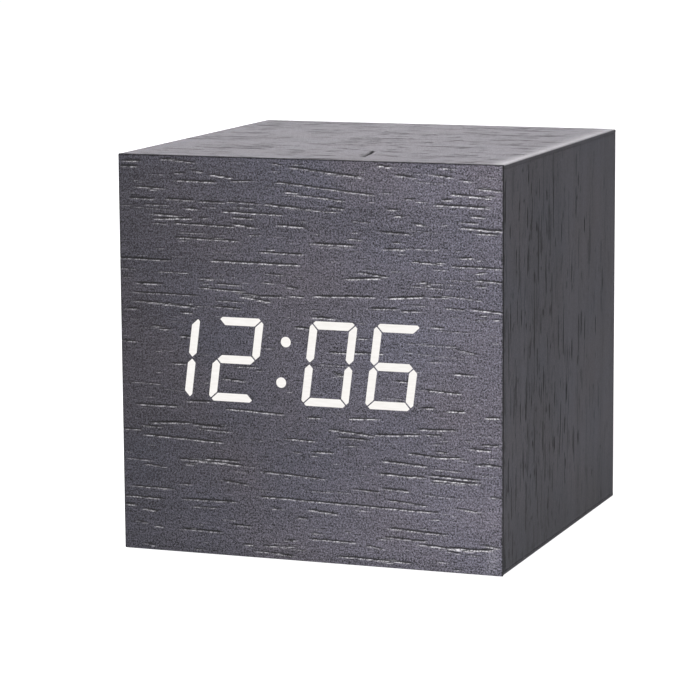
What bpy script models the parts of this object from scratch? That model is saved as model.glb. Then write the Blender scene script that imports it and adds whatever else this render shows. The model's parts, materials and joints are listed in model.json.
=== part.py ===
"""Cube alarm clock in a veneered wooden case, with a seven segment LED display.

Units are metres and +Z is up. The clock stands on four foot pads on the plane
z = 0, its display looks along -Y, its rear cover faces +Y, and the origin is
the middle of the footprint.
"""
import math

import bmesh
import bpy
from mathutils import Matrix, Vector

MM = 0.001

# ---------------------------------------------------------------- dimensions
# All in millimetres.
SIDE = 60.0            # outer side of the wooden cube
FOOT_T = 0.8           # the cube stands this far above the table
VENEER = 0.6           # veneer thickness
GLUE = 0.1             # glue line between veneer and board
BOARD = 3.3            # side boards
FRONT_BOARD = 3.0      # board behind the front veneer

ZC = FOOT_T + SIDE / 2            # height of the cube's centre
HALF = SIDE / 2                   # 30
BO = HALF - VENEER - GLUE         # 29.3, outer face of the boards
BI = BO - BOARD                   # 26.0, inner face of the boards
FB_Y0 = -BO                       # front board, front face
FB_Y1 = FB_Y0 + FRONT_BOARD       # front board, back face
CASE_Y0 = FB_Y1 + GLUE            # side boards start behind the front board
WINDOW_X, WINDOW_Z = 25.2, 8.8    # half sizes of the display window

FOOT_R, FOOT_PAD_T, FOOT_XY = 4.0, 0.7, 20.5

# seven segment display of three and a half digits: the first is only a 1
DIGIT_W, DIGIT_H = 7.4, 12.8
DIGIT_X = (-21.45, -11.27, 3.45, 13.45)
COLON_X, COLON_DZ = -3.77, 3.05
DIGIT_DZ = -0.2                   # digit centres against the cube's centre
SLANT = 0.13                      # sideways lean per unit of height
UNIT_X, UNIT_W, UNIT_H = 21.7, 4.2, 7.4
STROKE = 1.5

GUIDE_Y = (-29.2, -28.4, -27.2)   # plate front, plate back, end of the bars
REFL_Y = (-28.2, -26.2, -24.6)    # nose front, flange front, flange back
DBOARD_Y = (-24.5, -23.3)
DISPLAY_HX, DISPLAY_HZ = 25.3, 12.2

# rear cover and battery bay
COVER_H = 25.6                    # half width and half height
COVER_Y = (26.6, 29.0)
BAY_X = (-18.8, 14.2)             # inside of the bay
BAY_WALL = 1.2
BAY_Z, BAY_Z_WALL = 24.7, 0.8     # inside half height, end wall thickness
BAY_Y = (15.7, 26.6)              # inside of the bay
BAY_FLOOR = 1.2
DOOR_HOLE_Z = 22.8                # half height of the door opening
DOOR_GAP = 0.4
DOOR_T = 2.0
CORNER = 5.7                      # side of the corner blocks
SCREW_XZ = 22.9
STRIP_X = 20.6                    # middle of the button strip

# AAA cells
CELL_R, CELL_L, CELL_PITCH, CELL_Y = 5.25, 44.5, 10.8, 21.4
CELL_X0 = (BAY_X[0] + BAY_X[1]) / 2

# main board
PCB_X, PCB_Z, PCB_Y = (15.9, 25.3), 19.8, (19.0, 20.2)
BUTTON_DZ = {"set": 16.0, "up": 8.5, "down": 1.0}
JACK_DZ = -11.3
BOSS = ((17.8, -4.9), (20.6, -17.6))
MIC = (22.4, -4.9)
SENSOR = (23.8, -17.6)

# ------------------------------------------------------------------- helpers
for o in list(bpy.data.objects):
    bpy.data.objects.remove(o, do_unlink=True)

PARTS = bpy.data.collections.new("cube_alarm_clock")
CUTTERS = bpy.data.collections.new("cutters")
bpy.context.scene.collection.children.link(PARTS)
bpy.context.scene.collection.children.link(CUTTERS)


def material(name, color, roughness, metallic=0.0, emission=0.0):
    m = bpy.data.materials.new(name)
    m.use_nodes = True
    b = m.node_tree.nodes["Principled BSDF"]
    b.inputs["Base Color"].default_value = (*color, 1.0)
    b.inputs["Roughness"].default_value = roughness
    b.inputs["Metallic"].default_value = metallic
    if emission:
        b.inputs["Emission Color"].default_value = (*color, 1.0)
        b.inputs["Emission Strength"].default_value = emission
    m.diffuse_color = (*color, 1.0)
    return m


M_FRONT = material("black_veneer_front", (0.115, 0.110, 0.130), 0.75)
M_SIDE = material("black_veneer_side", (0.090, 0.088, 0.100), 0.7)
M_MDF = material("mdf", (0.36, 0.24, 0.14), 0.9)
M_BLOCK = material("glue_block", (0.55, 0.40, 0.24), 0.85)
M_PAD = material("foot_pad", (0.03, 0.03, 0.03), 0.9)
M_GUIDE = material("diffuser", (0.92, 0.92, 0.90), 0.45)
M_REFL = material("reflector", (0.85, 0.85, 0.83), 0.5)
M_BOARD = material("board", (0.02, 0.12, 0.05), 0.45)
M_BLACK = material("black_plastic", (0.02, 0.02, 0.022), 0.45)
M_DARK = material("cover_plastic", (0.028, 0.028, 0.03), 0.6)
M_STEEL = material("steel", (0.60, 0.60, 0.62), 0.3, 1.0)
M_ZINC = material("nickel_contact", (0.62, 0.60, 0.55), 0.3, 1.0)
M_CELL = material("cell_jacket", (0.10, 0.18, 0.30), 0.35, 0.3)
M_CAN = material("aluminium_can", (0.70, 0.70, 0.72), 0.35, 1.0)
M_RED = material("wire_red", (0.55, 0.02, 0.02), 0.5)
M_WBLK = material("wire_black", (0.02, 0.02, 0.02), 0.5)
M_RIBBON = material("ribbon", (0.45, 0.45, 0.47), 0.6)
M_BUTTON = material("button", (0.05, 0.05, 0.055), 0.5)


def link(obj, mat=None, cutter=False):
    (CUTTERS if cutter else PARTS).objects.link(obj)
    if cutter:
        obj.hide_render = True
        obj.display_type = "WIRE"
    if mat is not None:
        obj.data.materials.append(mat)
    return obj


def box(name, x, y, z, mat=None, bevel=0.0, cutter=False):
    """A block between the given pairs of coordinates, z measured from 0."""
    me = bpy.data.meshes.new(name)
    bm = bmesh.new()
    bmesh.ops.create_cube(bm, size=1.0)
    size = Vector((x[1] - x[0], y[1] - y[0], z[1] - z[0])) * MM
    bmesh.ops.scale(bm, vec=size, verts=bm.verts)
    if bevel:
        bmesh.ops.bevel(bm, geom=bm.edges[:], offset=bevel * MM, segments=2,
                        profile=0.5, affect="EDGES", clamp_overlap=True)
    bm.to_mesh(me)
    bm.free()
    o = bpy.data.objects.new(name, me)
    o.location = Vector((x[0] + x[1], y[0] + y[1], z[0] + z[1])) * 0.5 * MM
    return link(o, mat, cutter)


def turned(name, profile, at, mat=None, steps=24, axis="Y", cutter=False):
    """A turned solid: (radius, height) pairs from the top down to the foot.
    The heights run along the chosen world axis from the point at."""
    me = bpy.data.meshes.new(name)
    bm = bmesh.new()
    vs = [bm.verts.new((r * MM, 0.0, h * MM)) for r, h in profile]
    for a, b in zip(vs, vs[1:]):
        bm.edges.new((a, b))
    bm.to_mesh(me)
    bm.free()
    o = bpy.data.objects.new(name, me)
    o.location = Vector(at) * MM
    if axis == "Y":
        o.rotation_euler = (-math.pi / 2, 0, 0)
    elif axis == "X":
        o.rotation_euler = (0, math.pi / 2, 0)
    elif axis == "-Z":
        o.rotation_euler = (math.pi, 0, 0)
    elif axis == "-Y":
        o.rotation_euler = (math.pi / 2, 0, 0)
    s = o.modifiers.new("turn", "SCREW")
    s.axis = "Z"
    s.angle = 2 * math.pi
    s.steps = s.render_steps = steps
    s.use_merge_vertices = True
    s.merge_threshold = 0.00001
    s.use_smooth_shade = False
    return link(o, mat, cutter)


def disc(name, r, h0, h1, at, mat=None, steps=24, axis="Y", cutter=False,
         edge=0.0):
    p = [(0.0, h1), (r - edge, h1)]
    if edge:
        p += [(r - edge * 0.3, h1 - edge * 0.3), (r, h1 - edge)]
    p += [(r, h0), (0.0, h0)]
    return turned(name, p, at, mat, steps, axis, cutter)


def outline(name, polys, half, at, rot, mat=None, cutter=False, weld=True):
    """Flat closed outlines filled and extruded to both sides by half."""
    cu = bpy.data.curves.new(name, "CURVE")
    cu.dimensions = "2D"
    cu.fill_mode = "BOTH"
    cu.extrude = half * MM
    for poly in polys:
        sp = cu.splines.new("POLY")
        sp.points.add(len(poly) - 1)
        for p, (u, v) in zip(sp.points, poly):
            p.co = (u * MM, v * MM, 0, 1)
        sp.use_cyclic_u = True
    o = bpy.data.objects.new(name, cu)
    o.location = Vector(at) * MM
    o.rotation_euler = rot
    link(o, mat, cutter)
    return as_mesh(o, mat, cutter) if weld else o


def as_mesh(o, mat=None, cutter=False):
    """The curve object made a mesh, with its caps welded on."""
    bpy.context.view_layer.update()
    dg = bpy.context.evaluated_depsgraph_get()
    me = bpy.data.meshes.new_from_object(o.evaluated_get(dg))
    bm = bmesh.new()
    bm.from_mesh(me)
    bmesh.ops.remove_doubles(bm, verts=bm.verts, dist=0.000001)
    bmesh.ops.recalc_face_normals(bm, faces=bm.faces)
    bm.to_mesh(me)
    bm.free()
    name = o.name
    n = bpy.data.objects.new(name + "_m", me)
    n.matrix_world = o.matrix_world.copy()
    me.materials.clear()
    bpy.data.objects.remove(o, do_unlink=True)
    link(n, mat, cutter)
    n.name = name
    return n


def combine(o, other, op):
    m = o.modifiers.new(op.lower(), "BOOLEAN")
    m.operation = op
    m.solver = "EXACT"
    m.object = other
    return m


def cut(o, *others):
    for c in others:
        combine(o, c, "DIFFERENCE")


def join(o, *others):
    for c in others:
        combine(o, c, "UNION")


def zc(v):
    return ZC + v


XZ = (math.pi / 2, 0, 0)                 # outline u, v -> x, z
YZ = (math.pi / 2, 0, math.pi / 2)       # outline u, v -> y, z

# ------------------------------------------------------------- wooden case
box("veneer_front", (-HALF, HALF), (-HALF, -HALF + VENEER),
    (zc(-HALF), zc(HALF)), M_FRONT, bevel=0.2)
VY = (-HALF + VENEER + GLUE, HALF)
box("veneer_top", (-HALF, HALF), VY, (zc(HALF - VENEER), zc(HALF)), M_SIDE)
box("veneer_bottom", (-HALF, HALF), VY, (zc(-HALF), zc(VENEER - HALF)), M_SIDE)
SZ = (zc(-HALF + VENEER + GLUE), zc(HALF - VENEER - GLUE))
box("veneer_left", (-HALF, -HALF + VENEER), VY, SZ, M_SIDE)
box("veneer_right", (HALF - VENEER, HALF), VY, SZ, M_SIDE)

front = box("front_board", (-BO, BO), (FB_Y0, FB_Y1), (zc(-BO), zc(BO)), M_MDF)
cut(front, box("c_window", (-WINDOW_X, WINDOW_X), (FB_Y0 - 1, FB_Y1 + 1),
               (zc(-WINDOW_Z), zc(WINDOW_Z)), cutter=True))
BY = (CASE_Y0, HALF)
box("case_board_top", (-BO, BO), BY, (zc(BI), zc(BO)), M_MDF)
box("case_board_bottom", (-BO, BO), BY, (zc(-BO), zc(-BI)), M_MDF)
IZ = (zc(-BI + GLUE), zc(BI - GLUE))
box("case_board_left", (-BO, -BI), BY, IZ, M_MDF)
box("case_board_right", (BI, BO), BY, IZ, M_MDF)

# corner blocks, glued in the rear corners, take the cover's screws
n = 0
for sx in (-1, 1):
    for sz in (-1, 1):
        n += 1
        a, b = sorted((sx * (BI - GLUE), sx * (BI - GLUE - CORNER)))
        c, d = sorted((sz * (BI - 2 * GLUE), sz * (BI - 2 * GLUE - CORNER)))
        blk = box("corner_block_%d" % n, (a, b), (13.0, COVER_Y[0] - 0.2),
                  (zc(c), zc(d)), M_BLOCK)
        cut(blk, disc("c_block_%d" % n, 1.3, 17.0, 28.0,
                      (sx * SCREW_XZ, 0, zc(sz * SCREW_XZ)), cutter=True,
                      steps=12))
        disc("foot_pad_%d" % n, FOOT_R, 0.0, FOOT_PAD_T,
             (sx * FOOT_XY, sz * FOOT_XY, 0), M_PAD, steps=20, axis="Z",
             edge=0.25)


# ------------------------------------------------------------------ screws
def screw(name, at, axis, head_r, head_h, shaft_r, length, shared=[None, {}]):
    """Pan head screw with a cross recess. The head's seat is at the point at,
    the head stands along the axis and the shaft runs against it."""
    tip = -length
    prof = [(0.0, head_h), (head_r * 0.55, head_h * 0.93),
            (head_r * 0.88, head_h * 0.6), (head_r, head_h * 0.2),
            (head_r, 0.0), (shaft_r, 0.0), (shaft_r, tip + shaft_r),
            (0.0, tip)]
    o = turned(name, prof, at, M_STEEL, 10, axis)
    depth = head_h * 0.6
    for k, (w, l) in enumerate(((0.42, head_r * 1.1), (head_r * 1.1, 0.42))):
        cme = box("c_%s_%d" % (name, k), (-w / 2, w / 2), (-l / 2, l / 2),
                  (head_h - depth, head_h + 1), cutter=True)
        local = Matrix.Translation(cme.location)
        rot = o.rotation_euler.to_matrix().to_4x4()
        cme.matrix_world = Matrix.Translation(Vector(at) * MM) @ rot @ local
        cut(o, cme)
    return o


# ----------------------------------------------------------------- display
def hexes(cx, cz, w, h, t, end, names):
    """Pointed bars of a seven segment cell, leaning with SLANT. Their middle
    lines lie half a STROKE inside the cell's outline."""
    lx, lz = w / 2 - STROKE / 2, h / 2 - STROKE / 2
    bars = {"a": ((-lx, lz), (lx, lz)), "g": ((-lx, 0), (lx, 0)),
            "d": ((-lx, -lz), (lx, -lz)), "f": ((-lx, 0), (-lx, lz)),
            "b": ((lx, 0), (lx, lz)), "e": ((-lx, -lz), (-lx, 0)),
            "c": ((lx, -lz), (lx, 0))}
    out = []
    for k in names:
        (x0, z0), (x1, z1) = bars[k]
        d = Vector((x1 - x0, z1 - z0))
        ln = d.length
        d.normalize()
        nrm = Vector((-d.y, d.x))
        r = t / 2
        pts = []
        for s, o in ((end, 0), (end + r, r), (ln - end - r, r),
                     (ln - end, 0), (ln - end - r, -r), (end + r, -r)):
            p = Vector((x0, z0)) + d * s + nrm * o
            pts.append((cx + p.x + SLANT * p.y, cz + p.y))
        out.append(pts)
    return out


def ring(cx, cz, r, n=12):
    return [(cx + r * math.cos(2 * math.pi * i / n),
             cz + r * math.sin(2 * math.pi * i / n)) for i in range(n)]


def display_polys(t, end, dot):
    out = []
    for i, cx in enumerate(DIGIT_X):
        out += hexes(cx, DIGIT_DZ, DIGIT_W, DIGIT_H, t, end,
                     "abcdefg" if i else "bc")
    for s in (-1, 1):
        out.append(ring(COLON_X + s * COLON_DZ * SLANT,
                        DIGIT_DZ + s * COLON_DZ, dot))
    out += hexes(UNIT_X, DIGIT_DZ - 1.0, UNIT_W, UNIT_H, t - 0.2, end, "adefg")
    out.append(ring(UNIT_X + 0.6, DIGIT_DZ + 4.9, dot * 0.9))
    return out


SLOT_T, SLOT_END, PIPE_OFF = 1.6, 0.35, 0.3
slot_mid = (REFL_Y[0] + REFL_Y[2]) / 2
slots = outline("c_slots", display_polys(SLOT_T, SLOT_END, 1.15), 4.0,
                (0, slot_mid, ZC), XZ, cutter=True)
refl = box("display_reflector", (-DISPLAY_HX, DISPLAY_HX),
           (REFL_Y[1], REFL_Y[2]), (zc(-DISPLAY_HZ), zc(DISPLAY_HZ)), M_REFL)
join(refl, box("c_nose", (-WINDOW_X + 0.4, WINDOW_X - 0.4),
               (REFL_Y[0], REFL_Y[1] + 0.5),
               (zc(-WINDOW_Z + 0.4), zc(WINDOW_Z - 0.4)), cutter=True))
cut(refl, slots)

pipes = outline("c_pipes",
                display_polys(SLOT_T - 2 * PIPE_OFF,
                              SLOT_END + PIPE_OFF * math.sqrt(2) + 0.1, 0.8),
                (GUIDE_Y[2] - GUIDE_Y[0]) / 2 - 0.15,
                (0, (GUIDE_Y[0] + 0.3 + GUIDE_Y[2]) / 2, ZC), XZ, cutter=True)
guide = box("display_light_guide", (-WINDOW_X + 0.4, WINDOW_X - 0.4),
            (GUIDE_Y[0], GUIDE_Y[1]), (zc(-WINDOW_Z + 0.4),
                                       zc(WINDOW_Z - 0.4)), M_GUIDE)
join(guide, pipes)

dboard = box("display_board", (-DISPLAY_HX, DISPLAY_HX), DBOARD_Y,
             (zc(-DISPLAY_HZ), zc(DISPLAY_HZ)), M_BOARD)
leds = []
for poly in display_polys(SLOT_T, SLOT_END, 1.15):
    mx = sum(p[0] for p in poly) / len(poly)
    mz = sum(p[1] for p in poly) / len(poly)
    hw = 0.35
    leds.append([(mx - hw, mz - hw), (mx + hw, mz - hw),
                 (mx + hw, mz + hw), (mx - hw, mz + hw)])
join(dboard, outline("c_leds", leds, 0.5, (0, DBOARD_Y[0], ZC), XZ,
                     cutter=True))
box("display_connector", (STRIP_X - 4.2, STRIP_X + 4.2),
    (DBOARD_Y[1] + 0.1, DBOARD_Y[1] + 4.0), (zc(-2.0), zc(2.0)), M_GUIDE,
    bevel=0.2)
for i, s in enumerate((1, -1)):
    at = (-20.0 * s, 0, zc(10.6 * s))
    for o, tag in ((dboard, "b"), (refl, "r"), (front, "f")):
        cut(o, disc("c_ds_%d%s" % (i, tag), 1.1, -28.4, -22.0, at, steps=12,
                    cutter=True))
    screw("display_screw_%d" % (i + 1), (at[0], DBOARD_Y[1] + 0.1, at[2]),
          "Y", 1.7, 1.1, 0.8, 4.6)

# ------------------------------------------------------ rear cover and door
cover = box("rear_cover", (-COVER_H, COVER_H), COVER_Y,
            (zc(-COVER_H), zc(COVER_H)), M_DARK, bevel=0.25)
join(cover, box("c_bay_outer", (BAY_X[0] - BAY_WALL, BAY_X[1] + BAY_WALL),
                (BAY_Y[0] - BAY_FLOOR, COVER_Y[0] + 0.8),
                (zc(-BAY_Z - BAY_Z_WALL), zc(BAY_Z + BAY_Z_WALL)),
                cutter=True))
for i, (bx, bz) in enumerate(BOSS):
    join(cover, disc("c_boss_%d" % i, 1.5, PCB_Y[1] + 0.1, COVER_Y[0] + 0.8,
                     (bx, 0, zc(bz)), steps=12, cutter=True))
cut(cover, box("c_bay_inner", BAY_X, BAY_Y, (zc(-BAY_Z), zc(BAY_Z)),
               cutter=True))
cut(cover, box("c_door_hole", (BAY_X[0], BAY_X[1]), (BAY_Y[1] - 2, 31),
               (zc(-DOOR_HOLE_Z), zc(DOOR_HOLE_Z)), cutter=True))
for i, (bx, bz) in enumerate(BOSS):
    cut(cover, disc("c_bosshole_%d" % i, 0.95, PCB_Y[1] - 1, 24.6,
                    (bx, 0, zc(bz)), steps=10, cutter=True))
for k, dz in BUTTON_DZ.items():
    cut(cover, disc("c_btn_" + k, 2.8, 26, 30, (STRIP_X, 0, zc(dz)),
                    steps=24, cutter=True))
cut(cover, disc("c_jack_hole", 3.3, 26, 30, (STRIP_X, 0, zc(JACK_DZ)),
                steps=24, cutter=True))
cut(cover, disc("c_mic_hole", 0.7, 26, 30, (MIC[0], 0, zc(MIC[1])),
                steps=12, cutter=True))
for i in (-1, 0, 1):
    cut(cover, box("c_vent_%d" % (i + 1), (SENSOR[0] + i * 1.3 - 0.35,
                                           SENSOR[0] + i * 1.3 + 0.35),
                   (26, 30), (zc(SENSOR[1] - 1.7), zc(SENSOR[1] + 1.7)),
                   cutter=True))
# thumb notch at the free edge of the door
cut(cover, disc("c_thumb", 2.3, COVER_Y[1] - 1.2, 31,
                (CELL_X0, 0, zc(DOOR_HOLE_Z)), steps=24, cutter=True))
n = 0
for sx in (-1, 1):
    for sz in (-1, 1):
        n += 1
        at = (sx * SCREW_XZ, 0, zc(sz * SCREW_XZ))
        cut(cover, disc("c_cs_%d" % n, 1.3, 25, 31, at, steps=12,
                        cutter=True))
        cut(cover, disc("c_cb_%d" % n, 2.35, COVER_Y[1] - 0.9, 31, at,
                        steps=20, cutter=True))
        screw("rear_screw_%d" % n, (at[0], COVER_Y[1] - 0.8, at[2]), "Y",
              1.95, 1.2, 1.0, 8.6)

# The door turns on two pins at its lower edge, which is round about them.
HINGE_Y, HINGE_DZ = (COVER_Y[1] - DOOR_T / 2), -DOOR_HOLE_Z + DOOR_GAP + 1.0
DOOR_X = (BAY_X[0] + DOOR_GAP, BAY_X[1] - DOOR_GAP)
DOOR_TOP = DOOR_HOLE_Z - DOOR_GAP - HINGE_DZ
for i, (x0, x1) in enumerate(((BAY_X[0] - 0.9, BAY_X[0] + 0.5),
                              (BAY_X[1] - 0.5, BAY_X[1] + 0.9))):
    cut(cover, disc("c_pin_%d" % i, 0.75, x0, x1,
                    (0, HINGE_Y, zc(HINGE_DZ)), steps=12, axis="X",
                    cutter=True))
prof = [(-1.0, 0.0)]
for i in range(1, 10):
    a = math.pi + math.pi * i / 10
    prof.append((math.cos(a), math.sin(a)))
prof += [(1.0, 0.0), (1.0, DOOR_TOP - 0.3), (0.7, DOOR_TOP),
         (-0.7, DOOR_TOP), (-1.0, DOOR_TOP - 0.3)]
door = outline("battery_door", [prof], (DOOR_X[1] - DOOR_X[0]) / 2,
               ((DOOR_X[0] + DOOR_X[1]) / 2, HINGE_Y, zc(HINGE_DZ)), YZ,
               M_DARK)
for i, (x0, x1) in enumerate(((DOOR_X[0] - 0.95, DOOR_X[0] + 0.4),
                              (DOOR_X[1] - 0.4, DOOR_X[1] + 0.95))):
    join(door, disc("c_doorpin_%d" % i, 0.5, x0, x1,
                    (0, HINGE_Y, zc(HINGE_DZ)), steps=12, axis="X",
                    cutter=True))
for i in range(5):
    z = DOOR_HOLE_Z - 3.6 - i * 1.6
    join(door, box("c_grip_%d" % i, (CELL_X0 - 5 + 0.5 * i, CELL_X0 + 5 - 0.5 * i),
                   (COVER_Y[1] - 0.4, COVER_Y[1] + 0.35),
                   (zc(z - 0.35), zc(z + 0.35)), cutter=True))
# snap nib on the door's free edge
join(door, box("c_nib", (CELL_X0 - 3, CELL_X0 + 3), (27.4, 28.1),
               (zc(DOOR_HOLE_Z - DOOR_GAP - 0.5),
                zc(DOOR_HOLE_Z - DOOR_GAP + 0.15)), cutter=True))

# ------------------------------------------------------------ main board
pcb = box("main_board", PCB_X, PCB_Y, (zc(-PCB_Z), zc(PCB_Z)), M_BOARD)
for i, (bx, bz) in enumerate(BOSS):
    cut(pcb, disc("c_pcb_%d" % i, 1.05, 18, 21, (bx, 0, zc(bz)), steps=12,
                  cutter=True))
    screw("board_screw_%d" % (i + 1), (bx, PCB_Y[0] - 0.1, zc(bz)), "-Y",
          1.5, 1.0, 0.65, 4.6)

for k, dz in BUTTON_DZ.items():
    at = (STRIP_X, 0, zc(dz))
    sw = box("tact_switch_" + k, (STRIP_X - 3, STRIP_X + 3),
             (PCB_Y[1] + 0.1, 23.7), (zc(dz - 3), zc(dz + 3)), M_BLACK,
             bevel=0.15)
    cut(sw, disc("c_sw_" + k, 2.1, 21.5, 25, at, steps=16, cutter=True))
    disc("switch_plunger_" + k, 1.75, 22.3, 24.5, at, M_STEEL, steps=14,
         edge=0.2)
    turned("button_" + k,
           [(0.0, 29.75), (1.5, 29.75), (2.05, 29.62), (2.35, 29.3),
            (2.4, 28.9), (2.4, 26.0), (3.25, 26.0), (3.25, 25.0),
            (1.3, 25.0), (1.3, 24.6), (0.0, 24.6)], at, M_BUTTON, steps=18)

jack = box("dc_jack", (STRIP_X - 3.5, STRIP_X + 3.5), (PCB_Y[1] + 0.1, 26.2),
           (zc(JACK_DZ - 3.5), zc(JACK_DZ + 3.5)), M_BLACK, bevel=0.15)
jat = (STRIP_X, 0, zc(JACK_DZ))
join(jack, disc("c_jnose", 2.95, 25.5, 28.4, jat, steps=20, cutter=True,
                edge=0.2))
cut(jack, disc("c_jbore", 1.85, 22.0, 29.5, jat, steps=14, cutter=True))
join(jack, disc("c_jpin", 0.55, 21.5, 27.6, jat, steps=8, cutter=True,
                edge=0.15))

turned("microphone", [(0.0, 22.5), (0.8, 22.5), (0.9, 22.8), (1.8, 22.8),
                      (2.0, 22.6), (2.0, 20.3), (0.0, 20.3)],
       (MIC[0], 0, zc(MIC[1])), M_CAN, steps=14)
turned("temperature_sensor", [(0.0, 23.0), (0.5, 22.9), (0.85, 22.4),
                              (0.85, 21.9), (0.5, 21.4), (0.3, 21.2),
                              (0.3, 20.3), (0.0, 20.3)],
       (SENSOR[0], 0, zc(SENSOR[1])), M_BLACK, steps=14)
turned("buzzer", [(0.0, -18.9), (4.1, -18.9), (4.2, -18.8), (4.2, -14.6),
                  (3.9, -14.3), (0.9, -14.3), (0.8, -14.9), (0.0, -14.9)][::-1],
       (STRIP_X, 0, zc(14.5)), M_BLACK, steps=20, axis="-Y")
chip = box("controller_chip", (18.9, 24.2), (17.3, 18.9), (zc(2.0), zc(9.0)),
           M_BLACK, bevel=0.15)
cut(chip, disc("c_dot", 0.45, 16.5, 17.5, (23.3, 0, zc(8.0)), steps=12,
               cutter=True))
disc("crystal", 1.0, -2.5, 3.5, (17.3, 17.8, ZC), M_CAN, steps=16, axis="Z",
     edge=0.2)
turned("capacitor", [(0.0, -12.0), (1.7, -12.0), (2.0, -12.3), (2.0, -17.4),
                     (1.8, -17.7), (2.0, -18.0), (2.0, -18.9), (0.0, -18.9)],
       (22.6, 0, zc(-4.4)), M_BLACK, steps=14, axis="-Y")
box("board_connector", (STRIP_X - 4.2, STRIP_X + 4.2), (14.9, 18.9),
    (zc(-11.4), zc(-7.6)), M_GUIDE, bevel=0.2)


# ------------------------------------------------- ribbon and battery wires
def smooth(points, per=8):
    """Points along a smooth curve through the given ones."""
    pts = [Vector(p) for p in points]
    pts = [2 * pts[0] - pts[1]] + pts + [2 * pts[-1] - pts[-2]]
    out = []
    for i in range(1, len(pts) - 2):
        p0, p1, p2, p3 = pts[i - 1:i + 3]
        for k in range(per):
            t = k / per
            out.append(0.5 * ((2 * p1) + (p2 - p0) * t
                              + (2 * p0 - 5 * p1 + 4 * p2 - p3) * t * t
                              + (3 * p1 - p0 - 3 * p2 + p3) * t ** 3))
    out.append(pts[-2])
    return out


centre = smooth([(DBOARD_Y[1] + 4.3, 0.0), (-14.0, 0.4), (-8.0, 3.2),
                 (-1.0, 2.0), (4.0, -4.5), (9.0, -9.0), (14.6, -9.5)], 5)
left, right = [], []
for i, p in enumerate(centre):
    d = (centre[min(i + 1, len(centre) - 1)] - centre[max(i - 1, 0)])
    d.normalize()
    nrm = Vector((-d.y, d.x)) * 0.35
    left.append((p.x + nrm.x, p.y + nrm.y))
    right.append((p.x - nrm.x, p.y - nrm.y))
outline("display_ribbon", [left + right[::-1]], 3.5, (STRIP_X, 0, ZC), YZ,
        M_RIBBON)


def wire(name, points, r, mat, res=2):
    cu = bpy.data.curves.new(name, "CURVE")
    cu.dimensions = "3D"
    cu.bevel_depth = r * MM
    cu.bevel_resolution = res
    cu.use_fill_caps = True
    sp = cu.splines.new("POLY")
    sp.points.add(len(points) - 1)
    for p, q in zip(sp.points, points):
        p.co = (q[0] * MM, q[1] * MM, q[2] * MM, 1)
    o = bpy.data.objects.new(name, cu)
    return link(o, mat)


def lift(points):
    return [(p[0], p[1], p[2] + ZC) for p in points]


TAB_Y = 13.3
cells = [CELL_X0 - CELL_PITCH, CELL_X0, CELL_X0 + CELL_PITCH]
PLATE_Z = (24.1, 24.5)
PLATE_MID = sum(PLATE_Z) / 2
wire("battery_wire_red", lift(smooth(
    [(cells[0], TAB_Y - 0.3, PLATE_MID), (cells[0] + 0.3, 10.8, 23.6),
     (-8.0, 8.6, 17.0), (-1.0, 8.2, 6.0), (7.0, 8.6, -6.0),
     (13.6, 10.2, -12.6), (17.6, 14.0, -13.9), (18.0, 18.7, -14.0)], 3)),
    0.6, M_RED)
wire("battery_wire_black", lift(smooth(
    [(cells[2], TAB_Y - 0.3, -PLATE_MID), (cells[2] + 0.3, 10.8, -23.8),
     (12.5, 8.4, -21.5), (18.6, 8.6, -17.5), (22.6, 12.4, -14.8),
     (23.2, 18.7, -14.0)], 3)),
    0.6, M_WBLK)


# ------------------------------------------------------ cells and contacts
def cell(name, x, up):
    """AAA cell with its positive cap at the top, or at the foot."""
    h = CELL_L / 2
    prof = [(0.0, h), (1.7, h), (1.9, h - 0.15), (1.9, h - 0.9),
            (4.6, h - 1.0), (CELL_R, h - 1.4), (CELL_R, -h + 0.5),
            (CELL_R - 0.5, -h + 0.1), (3.6, -h), (0.0, -h)]
    return turned(name, prof, (x, CELL_Y, ZC), M_CELL, steps=20,
                  axis="Z" if up else "-Z")


for i, (x, up) in enumerate(zip(cells, (True, False, True))):
    cell("battery_%d" % (i + 1), x, up)


def coil_points(x, sign, z_start, z_end, turns=2.4, n=11):
    pts = []
    total = int(turns * n)
    for i in range(total + 1):
        t = i / total
        a = 2 * math.pi * turns * t
        r = 3.6 - 1.3 * t
        pts.append((x + r * math.cos(a), CELL_Y + r * math.sin(a),
                    ZC + sign * (z_start + (z_end - z_start) * t)))
    return pts


def contact(name, sign, plus, minus):
    """Plate against an end wall of the bay, with a dimple in front of each
    positive cap, a spring in front of each negative end and a solder tab."""
    xs = sorted(list(plus) + list(minus))
    z = sorted((zc(sign * PLATE_Z[0]), zc(sign * PLATE_Z[1])))
    o = box(name, (xs[0] - 4.2, xs[-1] + 4.2), (16.5, 25.8), z, M_ZINC)
    for k, x in enumerate(plus):
        d = turned("c_%s_dimple_%d" % (name, k),
                   [(0.0, -22.6), (1.3, -22.6), (2.6, -23.9), (2.6, -24.3),
                    (0.0, -24.3)], (x, CELL_Y, ZC), steps=16,
                   axis="-Z" if sign > 0 else "Z", cutter=True)
        join(o, d)
    for k, x in enumerate(minus):
        w = wire("c_%s_spring_%d" % (name, k),
                 coil_points(x, sign, 24.15, 22.85), 0.24, None)
        PARTS.objects.unlink(w)
        CUTTERS.objects.link(w)
        w.hide_render = True
        w.display_type = "WIRE"
        join(o, as_mesh(w, None, True))
    if len(xs) == 1:
        join(o, box("c_%s_tab" % name, (xs[0] - 1.2, xs[0] + 1.2),
                    (TAB_Y, 17.0), z, cutter=True))
        s = sorted((zc(sign * 23.75), zc(sign * 24.69)))
        cut(cover, box("c_%s_slot" % name, (xs[0] - 1.6, xs[0] + 1.6),
                       (BAY_Y[0] - 3, BAY_Y[0] + 0.5), s, cutter=True))
    return o


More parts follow.
